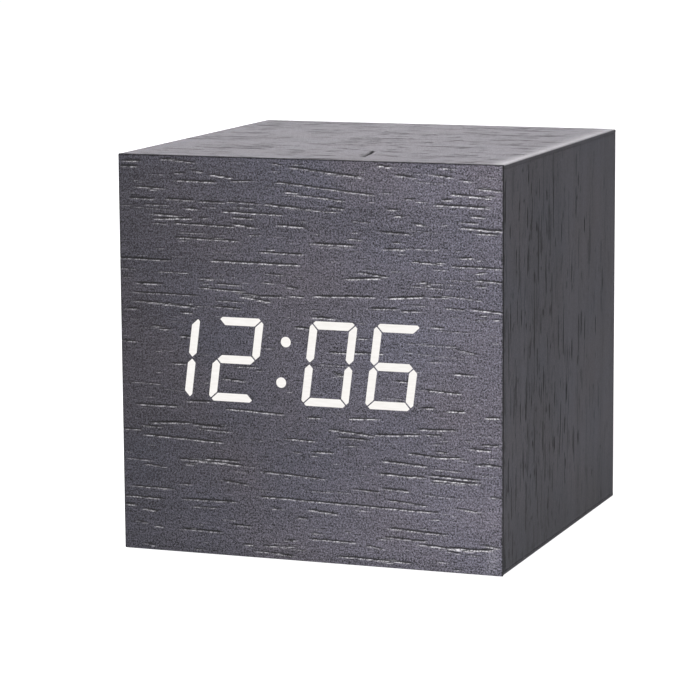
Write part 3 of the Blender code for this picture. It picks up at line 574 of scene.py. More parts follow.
# Long grooves of the front face that are plain to see: left end and right end in
# millimetres from the face's lower left corner, u then v.
FRONT_GRAIN = """
27.4 58.8 38.6 57.6; 25.6 56.5 40.2 55.1; 9.4 56.3 15.7 56.2; 15.0 57.3 18.2 56.9
2.9 55.2 7.3 55.0; 29.3 54.7 35.6 54.1; 52.3 55.6 58.1 55.2; 56.1 56.5 60 56.2
49.3 58.3 52.5 58.0; 49.9 54.0 57.8 53.8; 7.7 53.5 12.1 53.4; 13.1 53.3 16.7 53.2
23.7 53.2 29.0 52.8; 1.9 53.5 5.8 53.4; 33.4 53.1 35.8 52.9; 16.9 51.9 26.1 51.7
5.6 51.2 9.4 51.0; 46.5 51.2 48.4 50.9; 54.0 50.8 60 50.5; 18.4 50.1 21.8 49.7
25.4 50.2 30.0 50.0; 9.2 49.9 18.4 49.7; 41.6 49.8 46.0 49.6; 56.1 50.1 59.5 50.0
36.8 48.6 38.2 48.5; 9.2 47.8 19.1 47.6; 31.0 47.7 37.5 47.6; 42.1 47.3 45.0 47.3
22.5 46.1 29.3 46.0; 46.5 45.6 50.8 45.4; 52.3 45.2 60 45.1; 0 44.4 8.2 44.3
15.0 44.5 28.6 44.4; 38.2 43.7 42.6 43.2; 36.3 42.7 41.6 43.0; 47.7 42.9 49.3 41.9
56.1 43.3 60 43.1; 2.9 40.7 7.0 40.7; 13.1 41.5 14.6 40.7; 13.1 40.4 19.8 40.1
31.0 39.9 40.2 40.2; 2.2 39.3 12.6 39.2; 42.6 40.1 48.4 40.6; 51.3 39.1 54.2 38.9
19.4 39.4 24.2 38.7; 39.7 38.5 44.0 38.6; 55.2 39.1 60 38.7; 2.4 38.0 12.1 37.4
15.2 37.7 19.4 37.5; 9.9 36.6 11.6 36.5; 33.4 31.7 41.6 31.9; 31.0 36.8 34.1 36.7
0 31.9 2.4 31.8; 33.9 28.8 35.8 28.3; 34.3 28.5 36.0 28.0; 43.6 28.0 46.4 27.9
52.7 33.2 56.1 32.5; 52.7 29.5 55.7 29.4; 8.2 28.8 10.6 28.8; 48.4 26.9 53.7 26.6
2.4 22.3 9.2 22.3; 16.9 22.4 26.1 22.0; 29.8 21.8 31.9 21.8; 4.4 19.6 10.9 19.9
11.6 19.7 16.5 19.5; 33.4 20.2 40.2 19.6; 40.6 19.8 47.7 20.2; 48.4 20.3 50.8 20.3
34.8 19.1 39.4 19.0; 0 18.4 2.9 18.4; 3.6 17.7 16.0 17.2; 26.4 18.4 31.0 18.3
45.7 17.4 50.3 17.0; 50.3 17.0 53.7 17.2; 30.5 16.7 33.9 16.7; 41.6 16.0 48.4 15.6
56.9 16.5 60 16.2; 55.2 18.6 58.1 18.5; 9.2 14.3 19.4 13.9; 13.5 14.6 18.9 14.5
40.9 14.1 46.4 13.9; 48.9 14.3 56.6 14.0; 49.3 13.7 56.4 13.5; 3.6 13.2 6.8 12.9
22.6 13.2 32.3 12.7; 16.0 11.5 20.3 11.0; 37.0 11.5 41.1 11.3; 41.6 11.9 45.7 11.7
58.3 11.7 60 11.5; 1.5 9.7 8.2 9.6; 22.0 9.4 50.3 8.8; 42.6 10.2 48.4 9.7
53.0 9.7 56.1 9.3; 9.9 8.2 18.4 8.3; 30.2 7.9 34.4 7.5; 0 8.1 6.3 8.0
28.3 6.6 29.8 6.5; 42.8 6.0 51.3 5.6; 3.1 6.3 5.6 6.0; 17.7 4.8 20.8 4.7
42.1 4.6 48.4 4.4; 9.5 3.6 16.0 3.5; 31.9 3.5 37.3 3.4; 47.4 3.9 55.2 3.4
55.7 3.6 58.6 3.9; 34.8 1.2 46.4 1.0; 3.6 0.9 4.8 0.7; 2.2 4.3 3.6 4.1
28.1 35.2 30.5 35.0; 5.1 34.4 6.8 34.2; 9.7 33.0 11.6 32.9; 16.5 26.9 19.8 26.7
0.8 59 3.7 59; 0.6 58.2 3.1 58.2; 7.2 59.4 12.4 59; 24.4 59.3 26 59
9.2 57.4 10.8 57.4; 11.6 57.9 13.4 57.6; 18 56.4 21.6 56.6; 26.5 55.1 28.5 55
17.6 53.4 22.4 53.2; 10.9 52.2 12.6 52.1; 6.1 50.5 11.5 50.7
13.1 50.9 14.4 50.8; 18.4 51.1 21.4 51; 13.4 41.8 15 41.7; 15.7 41.1 19.5 41
27 41.1 28.8 40.9; 19 39.9 21.8 39.7; 20.6 39.5 25.8 39.6; 27.2 39.8 29.4 39.7
1 36.8 3 36.8; 6.2 33.9 8.1 33.9; 41.3 59.4 43.1 59.2; 43.8 58.1 46.7 57.8
53.7 57.7 55.2 57.5; 50.9 54.7 52.4 54.8; 57.8 55.5 58.9 55.5
42.5 53.1 44.2 53.1; 43.8 52.2 45.1 52.1; 45 54.7 46.9 54.7; 54 51.6 56.1 51.5
55.7 52.5 57.2 52.4; 43.2 48.3 44.4 48.3; 53.3 46.4 55.7 46.5
56.1 44.2 57.4 44.5; 56.1 42.5 57.2 42.4; 49.1 40.5 51.9 40.6
53.1 40.7 53.8 40.7; 44.7 38.3 47.4 38.4; 58.7 37.7 59.8 37.7
49.4 36.2 51 36.1; 10.7 23.2 14.5 23.3; 3.5 19 6.5 19; 10 13.6 11.6 13.5
9.5 10.5 10.9 10.5; 0 6.8 1.9 6.8; 5.3 3.7 6.4 3.6; 26.4 3 27.7 3.1
25.1 0.8 27.5 0.7; 19.5 1.9 20.8 1.9; 30.6 16.2 31.6 16; 27.7 16.5 28.5 16.4
24.4 7.7 25.6 7.7; 30.3 3.5 31.5 3.5; 36.7 22 40.7 22.2; 47.5 24.2 49.6 24.3
51.9 24 54.3 24; 57.5 23.3 59.8 23.4; 47.1 21 52.8 21.2; 56.8 19.3 59.4 19.3
53.6 16.9 54.5 16.8; 55.5 16.4 57 16.2; 49.8 17.9 51.7 17.8; 46.5 14 48.4 13.9
52 3.7 58.4 3.7; 56.9 4.5 59.8 4.1; 51.6 3.2 53.7 2.9; 39.3 3.1 41.4 2.8
"""


def front_strokes():
    out = []
    for part in FRONT_GRAIN.replace("\n", ";").split(";"):
        if part.strip():
            a = [float(q) for q in part.split()]
            out.append((a[0], a[1], a[2], a[3], RNG.uniform(0.08, 0.11),
                        RNG.uniform(0.07, 0.11)))
    for _ in range(300):                       # short, faint ones between
        ln = float(np.clip(RNG.exponential(1.6), 0.4, 6))
        u, v = RNG.uniform(0, 60 - ln), RNG.uniform(0.4, 59.6)
        sl = RNG.normal(-0.02, 0.03)
        out.append((u, v, u + ln, v + ln * sl, RNG.uniform(0.06, 0.09),
                    RNG.uniform(0.015, 0.06)))
    return out


def random_strokes(n, U, V, seed, mean=4.0, depth=(0.02, 0.06), slope=0.015,
                   width=(0.10, 0.18), dense=None):
    """n strokes along u. dense is (centre, spread) of the crowded part of v."""
    rs = np.random.RandomState(seed)
    out = []
    for _ in range(n):
        ln = float(np.clip(rs.exponential(mean), 0.8, 16))
        u = rs.uniform(-1, U - ln * 0.6)
        v = rs.uniform(0.3, V - 0.3)
        k = 1.0
        if dense and rs.uniform() < 0.55:
            v = float(np.clip(rs.normal(*dense), 0.4, V - 0.4))
        elif dense:
            k = 0.6
        out.append((u, v, u + ln, v + ln * rs.normal(0, slope),
                    rs.uniform(*width), rs.uniform(*depth) * k))
    return out


def bunched(strokes, seed, spread=0.2, width=(0.075, 0.12)):
    """Each streak is really a few thin pores lying side by side."""
    rs = np.random.RandomState(seed)
    out = []
    for u0, v0, u1, v1, w, d in strokes:
        ln = u1 - u0
        for k in range(rs.randint(2, 5)):
            a = u0 + ln * rs.uniform(0, 0.45)
            b = u1 - ln * rs.uniform(0, 0.45)
            if b - a < 0.3:
                continue
            o = rs.uniform(-1, 1) * spread * (0.5 + w / 0.3)
            out.append((a, v0 + o, b, v1 + o, rs.uniform(*width),
                        d * rs.uniform(0.7, 1.15)))
    return out


# Dark pores of the right face: distance back from the front edge, then lower and
# upper end from the bottom, in millimetres.
RIGHT_GRAIN = """
6.0 42 49; 8.4 35 38.5; 12.0 43 47; 13.5 48.5 54; 15.0 27 38.5; 18.6 22 26
21.0 36 45; 24.0 33 42; 27.5 28 34.5; 30.0 28 36; 34.5 37 44; 38.5 27 35
42.0 27 35; 48.0 27 34; 5.0 20 28; 9.5 12 19; 13.0 30 33; 17.0 40 52
19.5 14 20; 22.5 46 53; 25.5 20 25; 11.0 22 29; 16.2 8 14; 29.0 44 50
32.0 20 25; 36.0 10 16; 44.0 40 47; 52.0 33 39; 3.2 33 40; 7.3 50 56
"""


def build_front():
    us = lattice(0, SIDE, 92, 0.2)
    vs = lattice(0, SIDE, 940, 0.2)
    g, dark, lip_glint = strokes_on(us, vs, front_strokes(), 1.1, 1.45, 0.2)
    H = -edge_drop(us, vs, 0.2) - g
    H += waves(us, vs, 0.004, 0.25, 1.2, 5)
    ed = np.minimum.reduce(np.broadcast_arrays(
        us[:, None], (SIDE - us)[:, None], vs[None, :], (SIDE - vs)[None, :]))
    fade = np.clip(ed / 0.4, 0, 1)
    H = np.where(H > 0, np.minimum(H * fade, 0.02), H)
    # the colour is darker on the very edge, in an uneven line
    wob = 0.10 + 0.06 * np.sin(us * 5.1)[:, None] + 0.06 * np.sin(vs * 3.7)[None, :]
    pore = np.maximum(dark, np.clip(1 - ed / (0.06 + np.abs(wob)), 0, 1) * 0.8)
    # the lower right corner is painted a little paler, a small painted highlight
    edge_glint = np.exp(-((us - 58.6) / 0.8) ** 2)[:, None] * np.exp(
        -((vs - 2.2) / 1.9) ** 2)[None, :]
    lip_glint = np.maximum(lip_glint, 0.075 * edge_glint)
    return panel("front_veneer_skin", (X0, YF, Z0), (1, 0, 0), (0, 0, 1), us,
                 vs, H, 0.6, pore, M_FRONT, "veneer_front",
                 (("lip_glint", lip_glint * fade),))


def build_sides():
    y0 = YF + 0.62
    L = YB - y0
    # top, its right-hand edge eased over a couple of millimetres
    us = lattice(0, SIDE, 104, 0.08)
    us = np.concatenate([us[us < 34.5], np.arange(34.6, 37.1, 0.13),
                         us[us > 37.2]])
    vs = lattice(0, L, 700, 0.1)
    g, dark, _ = strokes_on(us, vs, bunched(
        random_strokes(560, SIDE, L, 21, 2.2, (0.016, 0.068), width=(0.14, 0.3))
        + random_strokes(70, SIDE, L, 27, 5.5, (0.02, 0.05), width=(0.1, 0.2)),
        31, 0.3, (0.07, 0.13)), wave=0.5)
    # one deep scratch, slanting back across the grain
    t = np.clip((vs - 5.5) / 8.3, 0, 1)[None, :]
    off = us[:, None] - (36.4 - 1.3 * t + 0.12 * np.sin(3.1 * t))
    cut = np.exp(-(off / 0.33) ** 2) * (np.clip((vs - 5.0) / 1.0, 0, 1)
                                        * np.clip((14.3 - vs) / 1.5, 0, 1))
    g, dark = np.maximum(g, 0.38 * cut), np.maximum(dark, 2.3 * cut)
    inset = (SIDE - us)[:, None] + 0 * vs[None, :]
    ease = 0.08 * np.clip(1 - inset / 2.4, 0, 1) ** 2
    H = -edge_drop(us, vs, 0.08, (1, 1, 0, 0)) - g - ease
    # painted highlight: a pale strip within 3 mm of the top's right edge
    edge_highlight = np.clip(1 - inset / 3.0, 0, 1) ** 1.5 * np.clip(inset / 0.3, 0, 1)
    panel("top_veneer_skin", (X0, y0, Z1), (1, 0, 0), (0, 1, 0), us, vs, H,
          0.6, dark, M_TOP_LIT, "veneer_top", (("edge_highlight", edge_highlight),),
          M_RIGHT_SHADED, 0.15)
    vs2 = lattice(0, SIDE, 90, 0.2)
    us2 = lattice(0, L, 600, 0.1)
    # bottom: U is +Y, V is +X
    g, dark, _ = strokes_on(vs2, us2, bunched(
        random_strokes(220, SIDE, L, 22), 32))
    H = (-edge_drop(vs2, us2, 0.2, (1, 1, 0, 0)) - g).T
    panel("bottom_veneer_skin", (X0, y0, Z0), (0, 1, 0), (1, 0, 0), us2, vs2,
          H, 0.6, dark.T, M_BOTTOM, "veneer_bottom", (),
          M_RIGHT_SHADED, 0.15)
    lo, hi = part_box("veneer_right")
    z0, z1 = lo.z / MM - 0.07, hi.z / MM + 0.07
    hz = z1 - z0
    for name, node, x, mat, seed in (
            ("right_veneer_skin", "veneer_right", X1, M_RIGHT_SHADED, 23),
            ("left_veneer_skin", "veneer_left", X0, M_LEFT_SHADED, 24)):
        zs = lattice(0, hz, 118, 0.06)
        ys = lattice(0, L, 720, 0.1)
        st = random_strokes(560, hz, L, seed, 2.1, (0.012, 0.075),
                            width=(0.14, 0.34), dense=(19, 11))
        st += random_strokes(150, hz, L, seed + 40, 4.5, (0.02, 0.06),
                             width=(0.1, 0.2), dense=(14, 8))
        if x > 0:
            for part in RIGHT_GRAIN.replace("\n", ";").split(";"):
                if part.strip():
                    a = [float(q) for q in part.split()]
                    st.append((a[1] - 0.7, a[0], a[2] - 0.7, a[0] + 0.1, 0.26,
                               0.06))
        g, dark, _ = strokes_on(zs, ys, bunched(st, seed + 10), wave=0.4)
        H = -edge_drop(zs, ys, 0.06) - g
        if x > 0:
            panel(name, (x, y0, z0), (0, 1, 0), (0, 0, 1), ys, zs, H.T, 0.6,
                  dark.T, mat, node)
        else:
            panel(name, (x, y0, z0), (0, 0, 1), (0, 1, 0), zs, ys, H, 0.6,
                  dark, mat, node)


# -------------------------------------------------------------- lit digits
DW, DH, DT = 7.4, 12.68, 1.21
CH, GAP, LEAN = 0.8, 0.2, 0.13
# name, centre across, centre up, segments
DIGITS = (("digit_1", -21.52, -0.18, "bc"), ("digit_2", -11.37, -0.14, "abged"),
          ("digit_0", 3.39, -0.09, "abcdef"), ("digit_6", 13.42, -0.01, "afgecd"))


def segment(k):
    """Outline of one segment about the digit's centre, upright."""
    w, h, t, c, g = DW / 2, DH / 2, DT, CH, GAP * 0.707
    a = [(-w + c, h), (w - c, h), (w - (c + g) / 2, h - (c - g) / 2),
         (w - t - g, h - t), (-w + t + g, h - t),
         (-w + (c + g) / 2, h - (c - g) / 2)]
    b = [(w - (c - g) / 2, h - (c + g) / 2), (w, h - c), (w, g + t / 2),
         (w - t / 2, g), (w - t, g + t / 2), (w - t, h - t - g)]
    gg = [(-w + t / 2 + g, 0), (-w + t + g, t / 2), (w - t - g, t / 2),
          (w - t / 2 - g, 0), (w - t - g, -t / 2), (-w + t + g, -t / 2)]
    return {"a": a, "d": [(x, -y) for x, y in a], "g": gg, "b": b,
            "c": [(x, -y) for x, y in b], "f": [(-x, y) for x, y in b],
            "e": [(-x, -y) for x, y in b]}[k]


def glowing(name, outlines, mat):
    """Flat lit areas, just at the skin's surface and 0.35 mm deep."""
    bm = bmesh.new()
    y = YF - 0.024
    for pts in outlines:
        area = sum(p[0] * q[1] - q[0] * p[1]
                   for p, q in zip(pts, pts[1:] + pts[:1]))
        if area < 0:
            pts = pts[::-1]
        vs = [bm.verts.new((x * MM, y * MM, (ZC + z) * MM)) for x, z in pts]
        f = bm.faces.new(vs)
        r = bmesh.ops.extrude_face_region(bm, geom=[f])
        bmesh.ops.translate(bm, vec=(0, 0.35 * MM, 0), verts=[
            v for v in r["geom"] if isinstance(v, bmesh.types.BMVert)])
    bmesh.ops.recalc_face_normals(bm, faces=bm.faces)
    me = bpy.data.meshes.new(name)
    bm.to_mesh(me)
    bm.free()
    me.materials.append(mat)
    o = bpy.data.objects.new(name, me)
    bpy.context.scene.collection.objects.link(o)
    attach(o, "root")
    return o


def soften(pts, r=0.10):
    """The outline with each corner cut round by r."""
    out = []
    n = len(pts)
    for i in range(n):
        p = Vector(pts[i])
        a, b = Vector(pts[i - 1]), Vector(pts[(i + 1) % n])
        da, db = (a - p), (b - p)
        la, lb = da.length, db.length
        ra, rb = min(r, la * 0.4), min(r, lb * 0.4)
        s, e = p + da * (ra / la), p + db * (rb / lb)
        for t in (0.0, 0.5, 1.0):
            q = s * (1 - t) ** 2 + p * (2 * t * (1 - t)) + e * t * t
            out.append((q.x, q.y))
    return out


def build_digits():
    mat = glow("display_light")
    for name, cx, cz, ks in DIGITS:
        outs = []
        for k in ks:
            pts = soften(segment(k), 0.09)
            outs.append([(cx + x + LEAN * z, cz + z) for x, z in pts])
        glowing(name, outs, mat)
    dots = []
    for s in (-1, 1):
        cx, cz = -3.82 + s * 3.05 * LEAN, -0.14 + s * 3.05
        dots.append([(cx + 0.78 * math.cos(q), cz + 0.78 * math.sin(q))
                     for q in np.linspace(0, 2 * math.pi, 41)[:-1]])
    glowing("digit_colon", dots, mat)


# ------------------------------------------------------- refined CAD pieces
def refine(node, width=0.12, seg=2, angle=32, mat=None, body="root",
           name=None):
    """A copy of a CAD piece with welded faces and eased edges."""
    src = frame["nodes"][node]
    me = src.data.copy()
    bm = bmesh.new()
    bm.from_mesh(me)
    bmesh.ops.remove_doubles(bm, verts=bm.verts, dist=1e-6)
    bmesh.ops.dissolve_limit(bm, angle_limit=math.radians(0.7),
                             verts=bm.verts, edges=bm.edges)
    if width:
        es = [e for e in bm.edges if e.is_manifold
              and e.calc_face_angle(0) > math.radians(angle)]
        bmesh.ops.bevel(bm, geom=es, offset=width * MM, segments=seg,
                        profile=0.6, affect="EDGES", clamp_overlap=True)
    bm.to_mesh(me)
    bm.free()
    for at in ("custom_normal",):
        if at in me.attributes:
            me.attributes.remove(me.attributes[at])
    me.shade_smooth()
    me.set_sharp_from_angle(angle=math.radians(35))
    me.materials.clear()
    me.materials.append(mat)
    o = bpy.data.objects.new(name or node + "_finished", me)
    bpy.context.scene.collection.objects.link(o)
    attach(o, body)
    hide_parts(node)
    return o


def lathe(name, profile, at, axis, mat, steps=64, cuts=(), body="root",
          node=None):
    """Turned piece: (radius, height) pairs from top to foot, in millimetres,
    along axis from the point at. cuts are prisms taken out of its top."""
    bm = bmesh.new()
    rings = []
    for r, h in profile:
        if r == 0:
            rings.append([bm.verts.new((0, 0, h * MM))])
        else:
            rings.append([bm.verts.new((r * MM * math.cos(2 * math.pi * i / steps),
                                        r * MM * math.sin(2 * math.pi * i / steps),
                                        h * MM)) for i in range(steps)])
    for A, B in zip(rings, rings[1:]):
        for i in range(steps):
            j = (i + 1) % steps
            if len(A) == 1 and len(B) > 1:
                bm.faces.new((A[0], B[i], B[j]))
            elif len(B) == 1 and len(A) > 1:
                bm.faces.new((A[i], B[0], A[j]))
            else:
                bm.faces.new((A[i], B[i], B[j], A[j]))
    bmesh.ops.recalc_face_normals(bm, faces=bm.faces)
    me = bpy.data.meshes.new(name)
    bm.to_mesh(me)
    bm.free()
    o = bpy.data.objects.new(name, me)
    bpy.context.scene.collection.objects.link(o)
    q = Vector((0, 0, 1)).rotation_difference(Vector(axis))
    M = Matrix.Translation(Vector(at) * MM) @ q.to_matrix().to_4x4()
    if cuts:
        for c in cuts:
            m = o.modifiers.new("cut", "BOOLEAN")
            m.operation = "DIFFERENCE"
            m.solver = "EXACT"
            m.object = c
        bpy.context.view_layer.update()
        dg = bpy.context.evaluated_depsgraph_get()
        me2 = bpy.data.meshes.new_from_object(o.evaluated_get(dg))
        o.modifiers.clear()
        o.data = me2
        me = me2
    me.transform(M)
    me.shade_smooth()
    me.set_sharp_from_angle(angle=math.radians(38))
    me.materials.clear()
    me.materials.append(mat)
    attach(o, body)
    if node:
        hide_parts(node)
    return o


def prism(size, at):
    """A tapered blade used to press a screw's recess, removed afterwards."""
    bm = bmesh.new()
    bmesh.ops.create_cube(bm, size=1.0)
    for v in bm.verts:
        k = 1.0 if v.co.z > 0 else 0.55
        v.co.x *= size[0] * MM * k
        v.co.y *= size[1] * MM * k
        v.co.z *= size[2] * MM
        v.co += Vector(at) * MM
    me = bpy.data.meshes.new("blade")
    bm.to_mesh(me)
    bm.free()
    o = bpy.data.objects.new("blade", me)
    bpy.context.scene.collection.objects.link(o)
    return o


def screw_head(name, node, head_r, head_h, shaft_r, mat):
    lo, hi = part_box(node)
    cx, cz = (lo.x + hi.x) / 2 / MM, (lo.z + hi.z) / 2 / MM
    top = hi.y / MM
    length = (hi.y - lo.y) / MM
    prof = [(0.0, 0.0)]
    for i in range(1, 8):
        a = i / 7 * math.pi / 2
        prof.append((head_r * math.sin(a), -head_h * 0.55 * (1 - math.cos(a))))
    prof += [(head_r, -head_h * 0.9), (head_r - 0.1, -head_h),
             (shaft_r + 0.15, -head_h), (shaft_r, -head_h - 0.15)]
    z = -head_h - 0.4
    while z > -length + 1.2:                    # thread as rounded rings
        prof += [(shaft_r * 0.82, z), (shaft_r * 0.84, z - 0.2),
                 (shaft_r, z - 0.32), (shaft_r * 0.82, z - 0.44)]
        z -= 0.62
    prof += [(shaft_r * 0.6, -length + 0.5), (0.0, -length)]
    ang = RNG.uniform(0, 90)
    blades = [prism((head_r * 1.15, 0.36, 1.6), (0, 0, 0.15)),
              prism((0.36, head_r * 1.15, 1.6), (0, 0, 0.15))]
    for b in blades:
        b.rotation_euler = (0, 0, math.radians(ang))
    o = lathe(name, prof, (cx, top, cz), (0, 1, 0), mat, 48, blades,
              node=node)
    for b in blades:
        bpy.data.objects.remove(b, do_unlink=True)
    return o


def build_rear():
    cover = plastic("cover_black_textured", (0.020, 0.020, 0.0215), 0.55, 3.0,
                    0.045, 0.16)
    door = plastic("door_black_textured", (0.021, 0.021, 0.0225), 0.52, 3.0,
                   0.045, 0.16)
    butt = plastic("button_black_satin", (0.030, 0.030, 0.032), 0.36, 5.0,
                   0.01, 0.08)
    jackm = plastic("jack_black_gloss", (0.014, 0.014, 0.015), 0.3, 5.0,
                    0.008, 0.08)
    zinc = metal("zinc_plated_steel", (0.56, 0.56, 0.57), 0.28)
    refine("rear_cover", 0.14, 2, mat=cover)
    refine("battery_door", 0.12, 2, mat=door,
           body="door")
    for i in range(1, 5):
        screw_head("rear_screw_%d_finished" % i, "rear_screw_%d" % i, 1.95,
                   1.2, 1.0, zinc)
    for k in ("set", "up", "down"):
        lo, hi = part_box("button_" + k)
        cx, cz = (lo.x + hi.x) / 2 / MM, (lo.z + hi.z) / 2 / MM
        t = hi.y / MM
        y0 = lo.y / MM
        prof = [(0.0, t - 0.22), (0.8, t - 0.18), (1.4, t - 0.08),
                (1.7, t - 0.01), (1.95, t - 0.01), (2.15, t - 0.07),
                (2.3, t - 0.2), (2.38, t - 0.4), (2.4, t - 0.7), (2.4, 26.02),
                (2.5, 25.98), (3.2, 25.98), (3.25, 25.9), (3.25, 25.05),
                (3.2, 25.0), (1.35, 25.0), (1.3, 24.95), (1.3, y0), (0.0, y0)]
        lathe("button_%s_finished" % k, prof, (cx, 0, cz), (0, 1, 0), butt, 64,
              body=k + "_button", node="button_" + k)
    # supply inlet: box, nose, bore, lip and centre pin
    refine("dc_jack", 0.1, 2, angle=32, mat=jackm)
    lo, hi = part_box("dc_jack")
    jx, jz = (lo.x + hi.x) / 2 / MM, (lo.z + hi.z) / 2 / MM
    pin = metal("jack_pin_nickel", (0.70, 0.68, 0.62), 0.2)
    lathe("dc_jack_pin", [(0, 27.66), (0.3, 27.62), (0.52, 27.45), (0.6, 27.2),
                          (0.6, 22.05), (0, 22.05)], (jx, 0, jz), (0, 1, 0),
          pin, 32)
    lathe("dc_jack_sleeve", [(1.82, 27.9), (1.82, 22.1), (1.66, 22.1),
                             (1.66, 27.8), (1.70, 27.9), (1.82, 27.9)],
          (jx, 0, jz), (0, 1, 0), pin, 40)


def build_feet():
    m = foam("foot_foam_rubber")
    for i in range(1, 5):
        node = "foot_pad_%d" % i
        lo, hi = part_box(node)
        r = (hi.x - lo.x) / 2 / MM
        at = ((lo.x + hi.x) / 2 / MM, (lo.y + hi.y) / 2 / MM, 0)
        t = hi.z / MM
        lathe(node + "_finished", [(0, t), (r - 0.05, t), (r, t - 0.06),
                                   (r, 0.22), (r - 0.08, 0.08), (r - 0.25, 0.0),
                                   (0, 0)], at, (0, 0, 1), m, 72, node=node)


def build_cells():
    up, down = jacket("cell_jacket_up"), jacket("cell_jacket_down", True)
    for i, flip in ((1, False), (2, True), (3, False)):
        node = "battery_%d" % i
        lo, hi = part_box(node)
        r = (hi.x - lo.x) / 2 / MM
        h = (hi.z - lo.z) / 2 / MM
        at = ((lo.x + hi.x) / 2 / MM, (lo.y + hi.y) / 2 / MM,
              (lo.z + hi.z) / 2 / MM)
        prof = [(0.0, h), (1.55, h), (1.8, h - 0.1), (1.9, h - 0.3),
                (1.9, h - 0.95), (2.1, h - 1.0), (3.4, h - 1.0),
                (3.6, h - 0.85), (4.5, h - 0.85), (4.9, h - 0.95),
                (5.15, h - 1.2), (r, h - 1.5), (r, -h + 0.6),
                (5.15, -h + 0.3), (4.8, -h + 0.12), (4.2, -h + 0.1),
                (4.0, -h + 0.2), (3.7, -h + 0.2), (3.5, -h), (0.0, -h)]
        lathe(node + "_finished", prof, at, (0, 0, -1 if flip else 1),
              down if flip else up, 72, node=node)


def dress_the_rest():
    """Node materials for every CAD piece that is still itself."""
    mats = {
        "fibreboard": fibreboard("stained_fibreboard"),
        "block_wood": softwood("glue_block_pine"),
        "diffuser": frosted("light_guide_frosted"),
        "white_plastic": frosted("reflector_white", (0.82, 0.82, 0.80), 0.5),
        "connector_plastic": frosted("connector_nylon", (0.78, 0.75, 0.66), 0.45),
        "circuit_board": board("solder_mask_green"),
        "ribbon_grey": ribbon_mat("ribbon_cable"),
        "screw_steel": metal("screw_steel_plain", (0.56, 0.56, 0.57), 0.3),
        "contact_nickel": metal("contact_nickel_plate", (0.66, 0.64, 0.60),
                                0.28, brushed=0),
        "switch_plunger": plastic("plunger_black", (0.05, 0.05, 0.05), 0.5),
        "switch_body": plastic("switch_black", (0.03, 0.03, 0.03), 0.45),
        "component_black": plastic("epoxy_black", (0.022, 0.022, 0.023), 0.5,
                                   4.0, 0.02),
        "capacitor_sleeve": plastic("capacitor_sleeve", (0.02, 0.024, 0.05),
                                    0.3, 2.0, 0.008),
        "metal_can": metal("drawn_can", (0.72, 0.72, 0.73), 0.25, brushed=2),
        "wire_red": insulation("insulation_red", (0.45, 0.015, 0.012)),
        "wire_black": insulation("insulation_black", (0.018, 0.018, 0.019)),
    }
    which = {s["node"]: s["material_slot"] for s in frame["record"]["subparts"]}
    for n, o in frame["nodes"].items():
        slot = which.get(n)
        if slot in mats and not o.hide_render:
            o.data.materials.clear()
            o.data.materials.append(mats[slot])


# --------------------------------------------------------- camera and light
def camera():
    yaw, pitch, roll = (math.radians(v) for v in (20.36, -9.22, -0.37))
    f = Vector((-math.sin(yaw) * math.cos(pitch),
                math.cos(yaw) * math.cos(pitch), math.sin(pitch)))
    r = Vector((math.cos(yaw), math.sin(yaw), 0))
    u = r.cross(f)
    r2 = math.cos(roll) * r + math.sin(roll) * u
    u2 = -math.sin(roll) * r + math.cos(roll) * u
    cam = bpy.data.cameras.new("camera")
    cam.sensor_width = 36.0
    cam.lens = 159.5
    cam.clip_start, cam.clip_end = 0.01, 50.0
    o = bpy.data.objects.new("camera", cam)
    bpy.context.scene.collection.objects.link(o)
    S = SIDE * MM
    o.location = Vector((2.706 * S, -7.493 * S, ZC * MM + 1.248 * S))
    o.rotation_euler = Matrix((r2, u2, -f)).transposed().to_euler()
    bpy.context.scene.camera = o


def area(name, loc, target, size, power, color=(1, 1, 1), size_y=None):
    d = bpy.data.lights.new(name, "AREA")
    d.energy = power
    d.color = color
    d.size = size
    if size_y:
        d.shape = "RECTANGLE"
        d.size_y = size_y
    o = bpy.data.objects.new(name, d)
    bpy.context.scene.collection.objects.link(o)
    o.location = Vector(loc)
    v = Vector(target) - Vector(loc)
    o.rotation_euler = v.to_track_quat("-Z", "Y").to_euler()
    return o


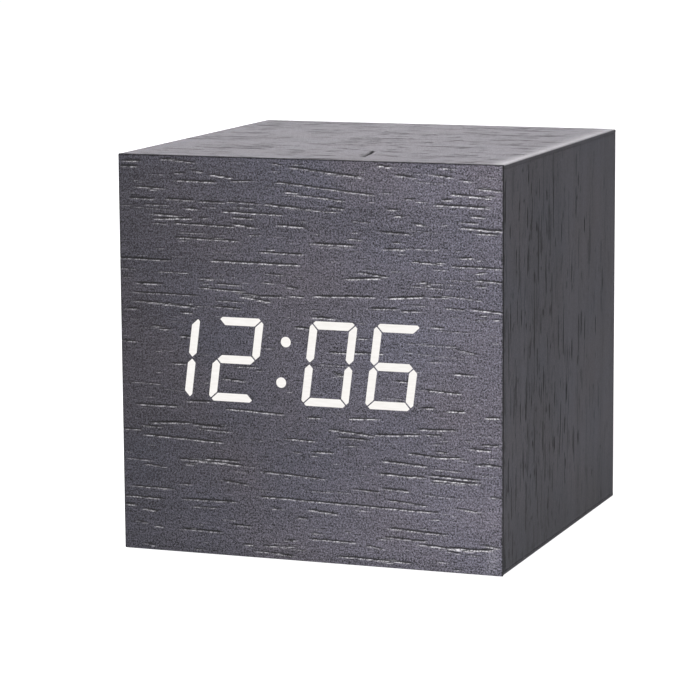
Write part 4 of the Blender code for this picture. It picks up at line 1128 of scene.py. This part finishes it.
def studio():
    sc = bpy.context.scene
    sc.view_settings.view_transform = "Standard"
    sc.view_settings.look = "None"
    w = bpy.data.worlds.new("studio")
    w.use_nodes = True
    bg = w.node_tree.nodes["Background"]
    bg.inputs[0].default_value = (1.0, 1.0, 1.0, 1.0)
    bg.inputs[1].default_value = WORLD
    sc.world = w
    me = bpy.data.meshes.new("floor")
    bm = bmesh.new()
    bmesh.ops.create_grid(bm, x_segments=8, y_segments=8, size=6.0)
    bm.to_mesh(me)
    bm.free()
    fl = bpy.data.objects.new("floor", me)
    sc.collection.objects.link(fl)
    n = Nodes("white_sweep", 0.9, spec=0.1)
    a = n.noise(n.stretch(0.002, 0.002, 0.002), 1.0, 2.0, 0.5)
    n.color(n.ramp(a, (0.3, (0.80, 0.80, 0.80)), (0.7, (0.82, 0.82, 0.82))))
    # the lit sweep fades to the left in front of the clock
    front = n.remap(n.axis(1), -200.0, -105.0, 1.0, 0.0)
    side = n.remap(n.axis(0), -170.0, 70.0, -0.15, 0.18)
    g = n.math("MULTIPLY", front, side)
    n.b.inputs["Emission Color"].default_value = (1, 1, 1, 1)
    n.link(n.math("MULTIPLY", n.math("ADD", g, 1.0), FLOOR_GLOW),
           n.b.inputs["Emission Strength"])
    me.materials.append(n.m)
    c = (0, 0, 0.03)
    for name, loc, size, sy, p, col in LIGHTS:
        area(name, loc, c, size, p, col, size_y=sy)


WORLD = 0.05
FLOOR_GLOW = 1.0
LIGHTS = (
    # name, place, width, height, power, colour
    ("back_strip", (-0.45, 1.40, 0.30), 1.2, 0.4, 5.8, (1.0, 0.965, 1.03)),
    ("back_right", (0.60, 0.90, 0.50), 0.5, 0.5, 3.45, (1.0, 1.0, 1.0)),
    ("front_low", (0.03, -0.25, 0.07), 0.05, 0.05, 0.14, (1.0, 1.0, 1.0)),
    ("front_high", (0.03, -0.17, 0.20), 0.06, 0.06, 0.42, (1.0, 1.0, 1.0)),
)

build_front()
build_sides()
build_digits()
build_rear()
build_feet()
build_cells()
dress_the_rest()
camera()
studio()
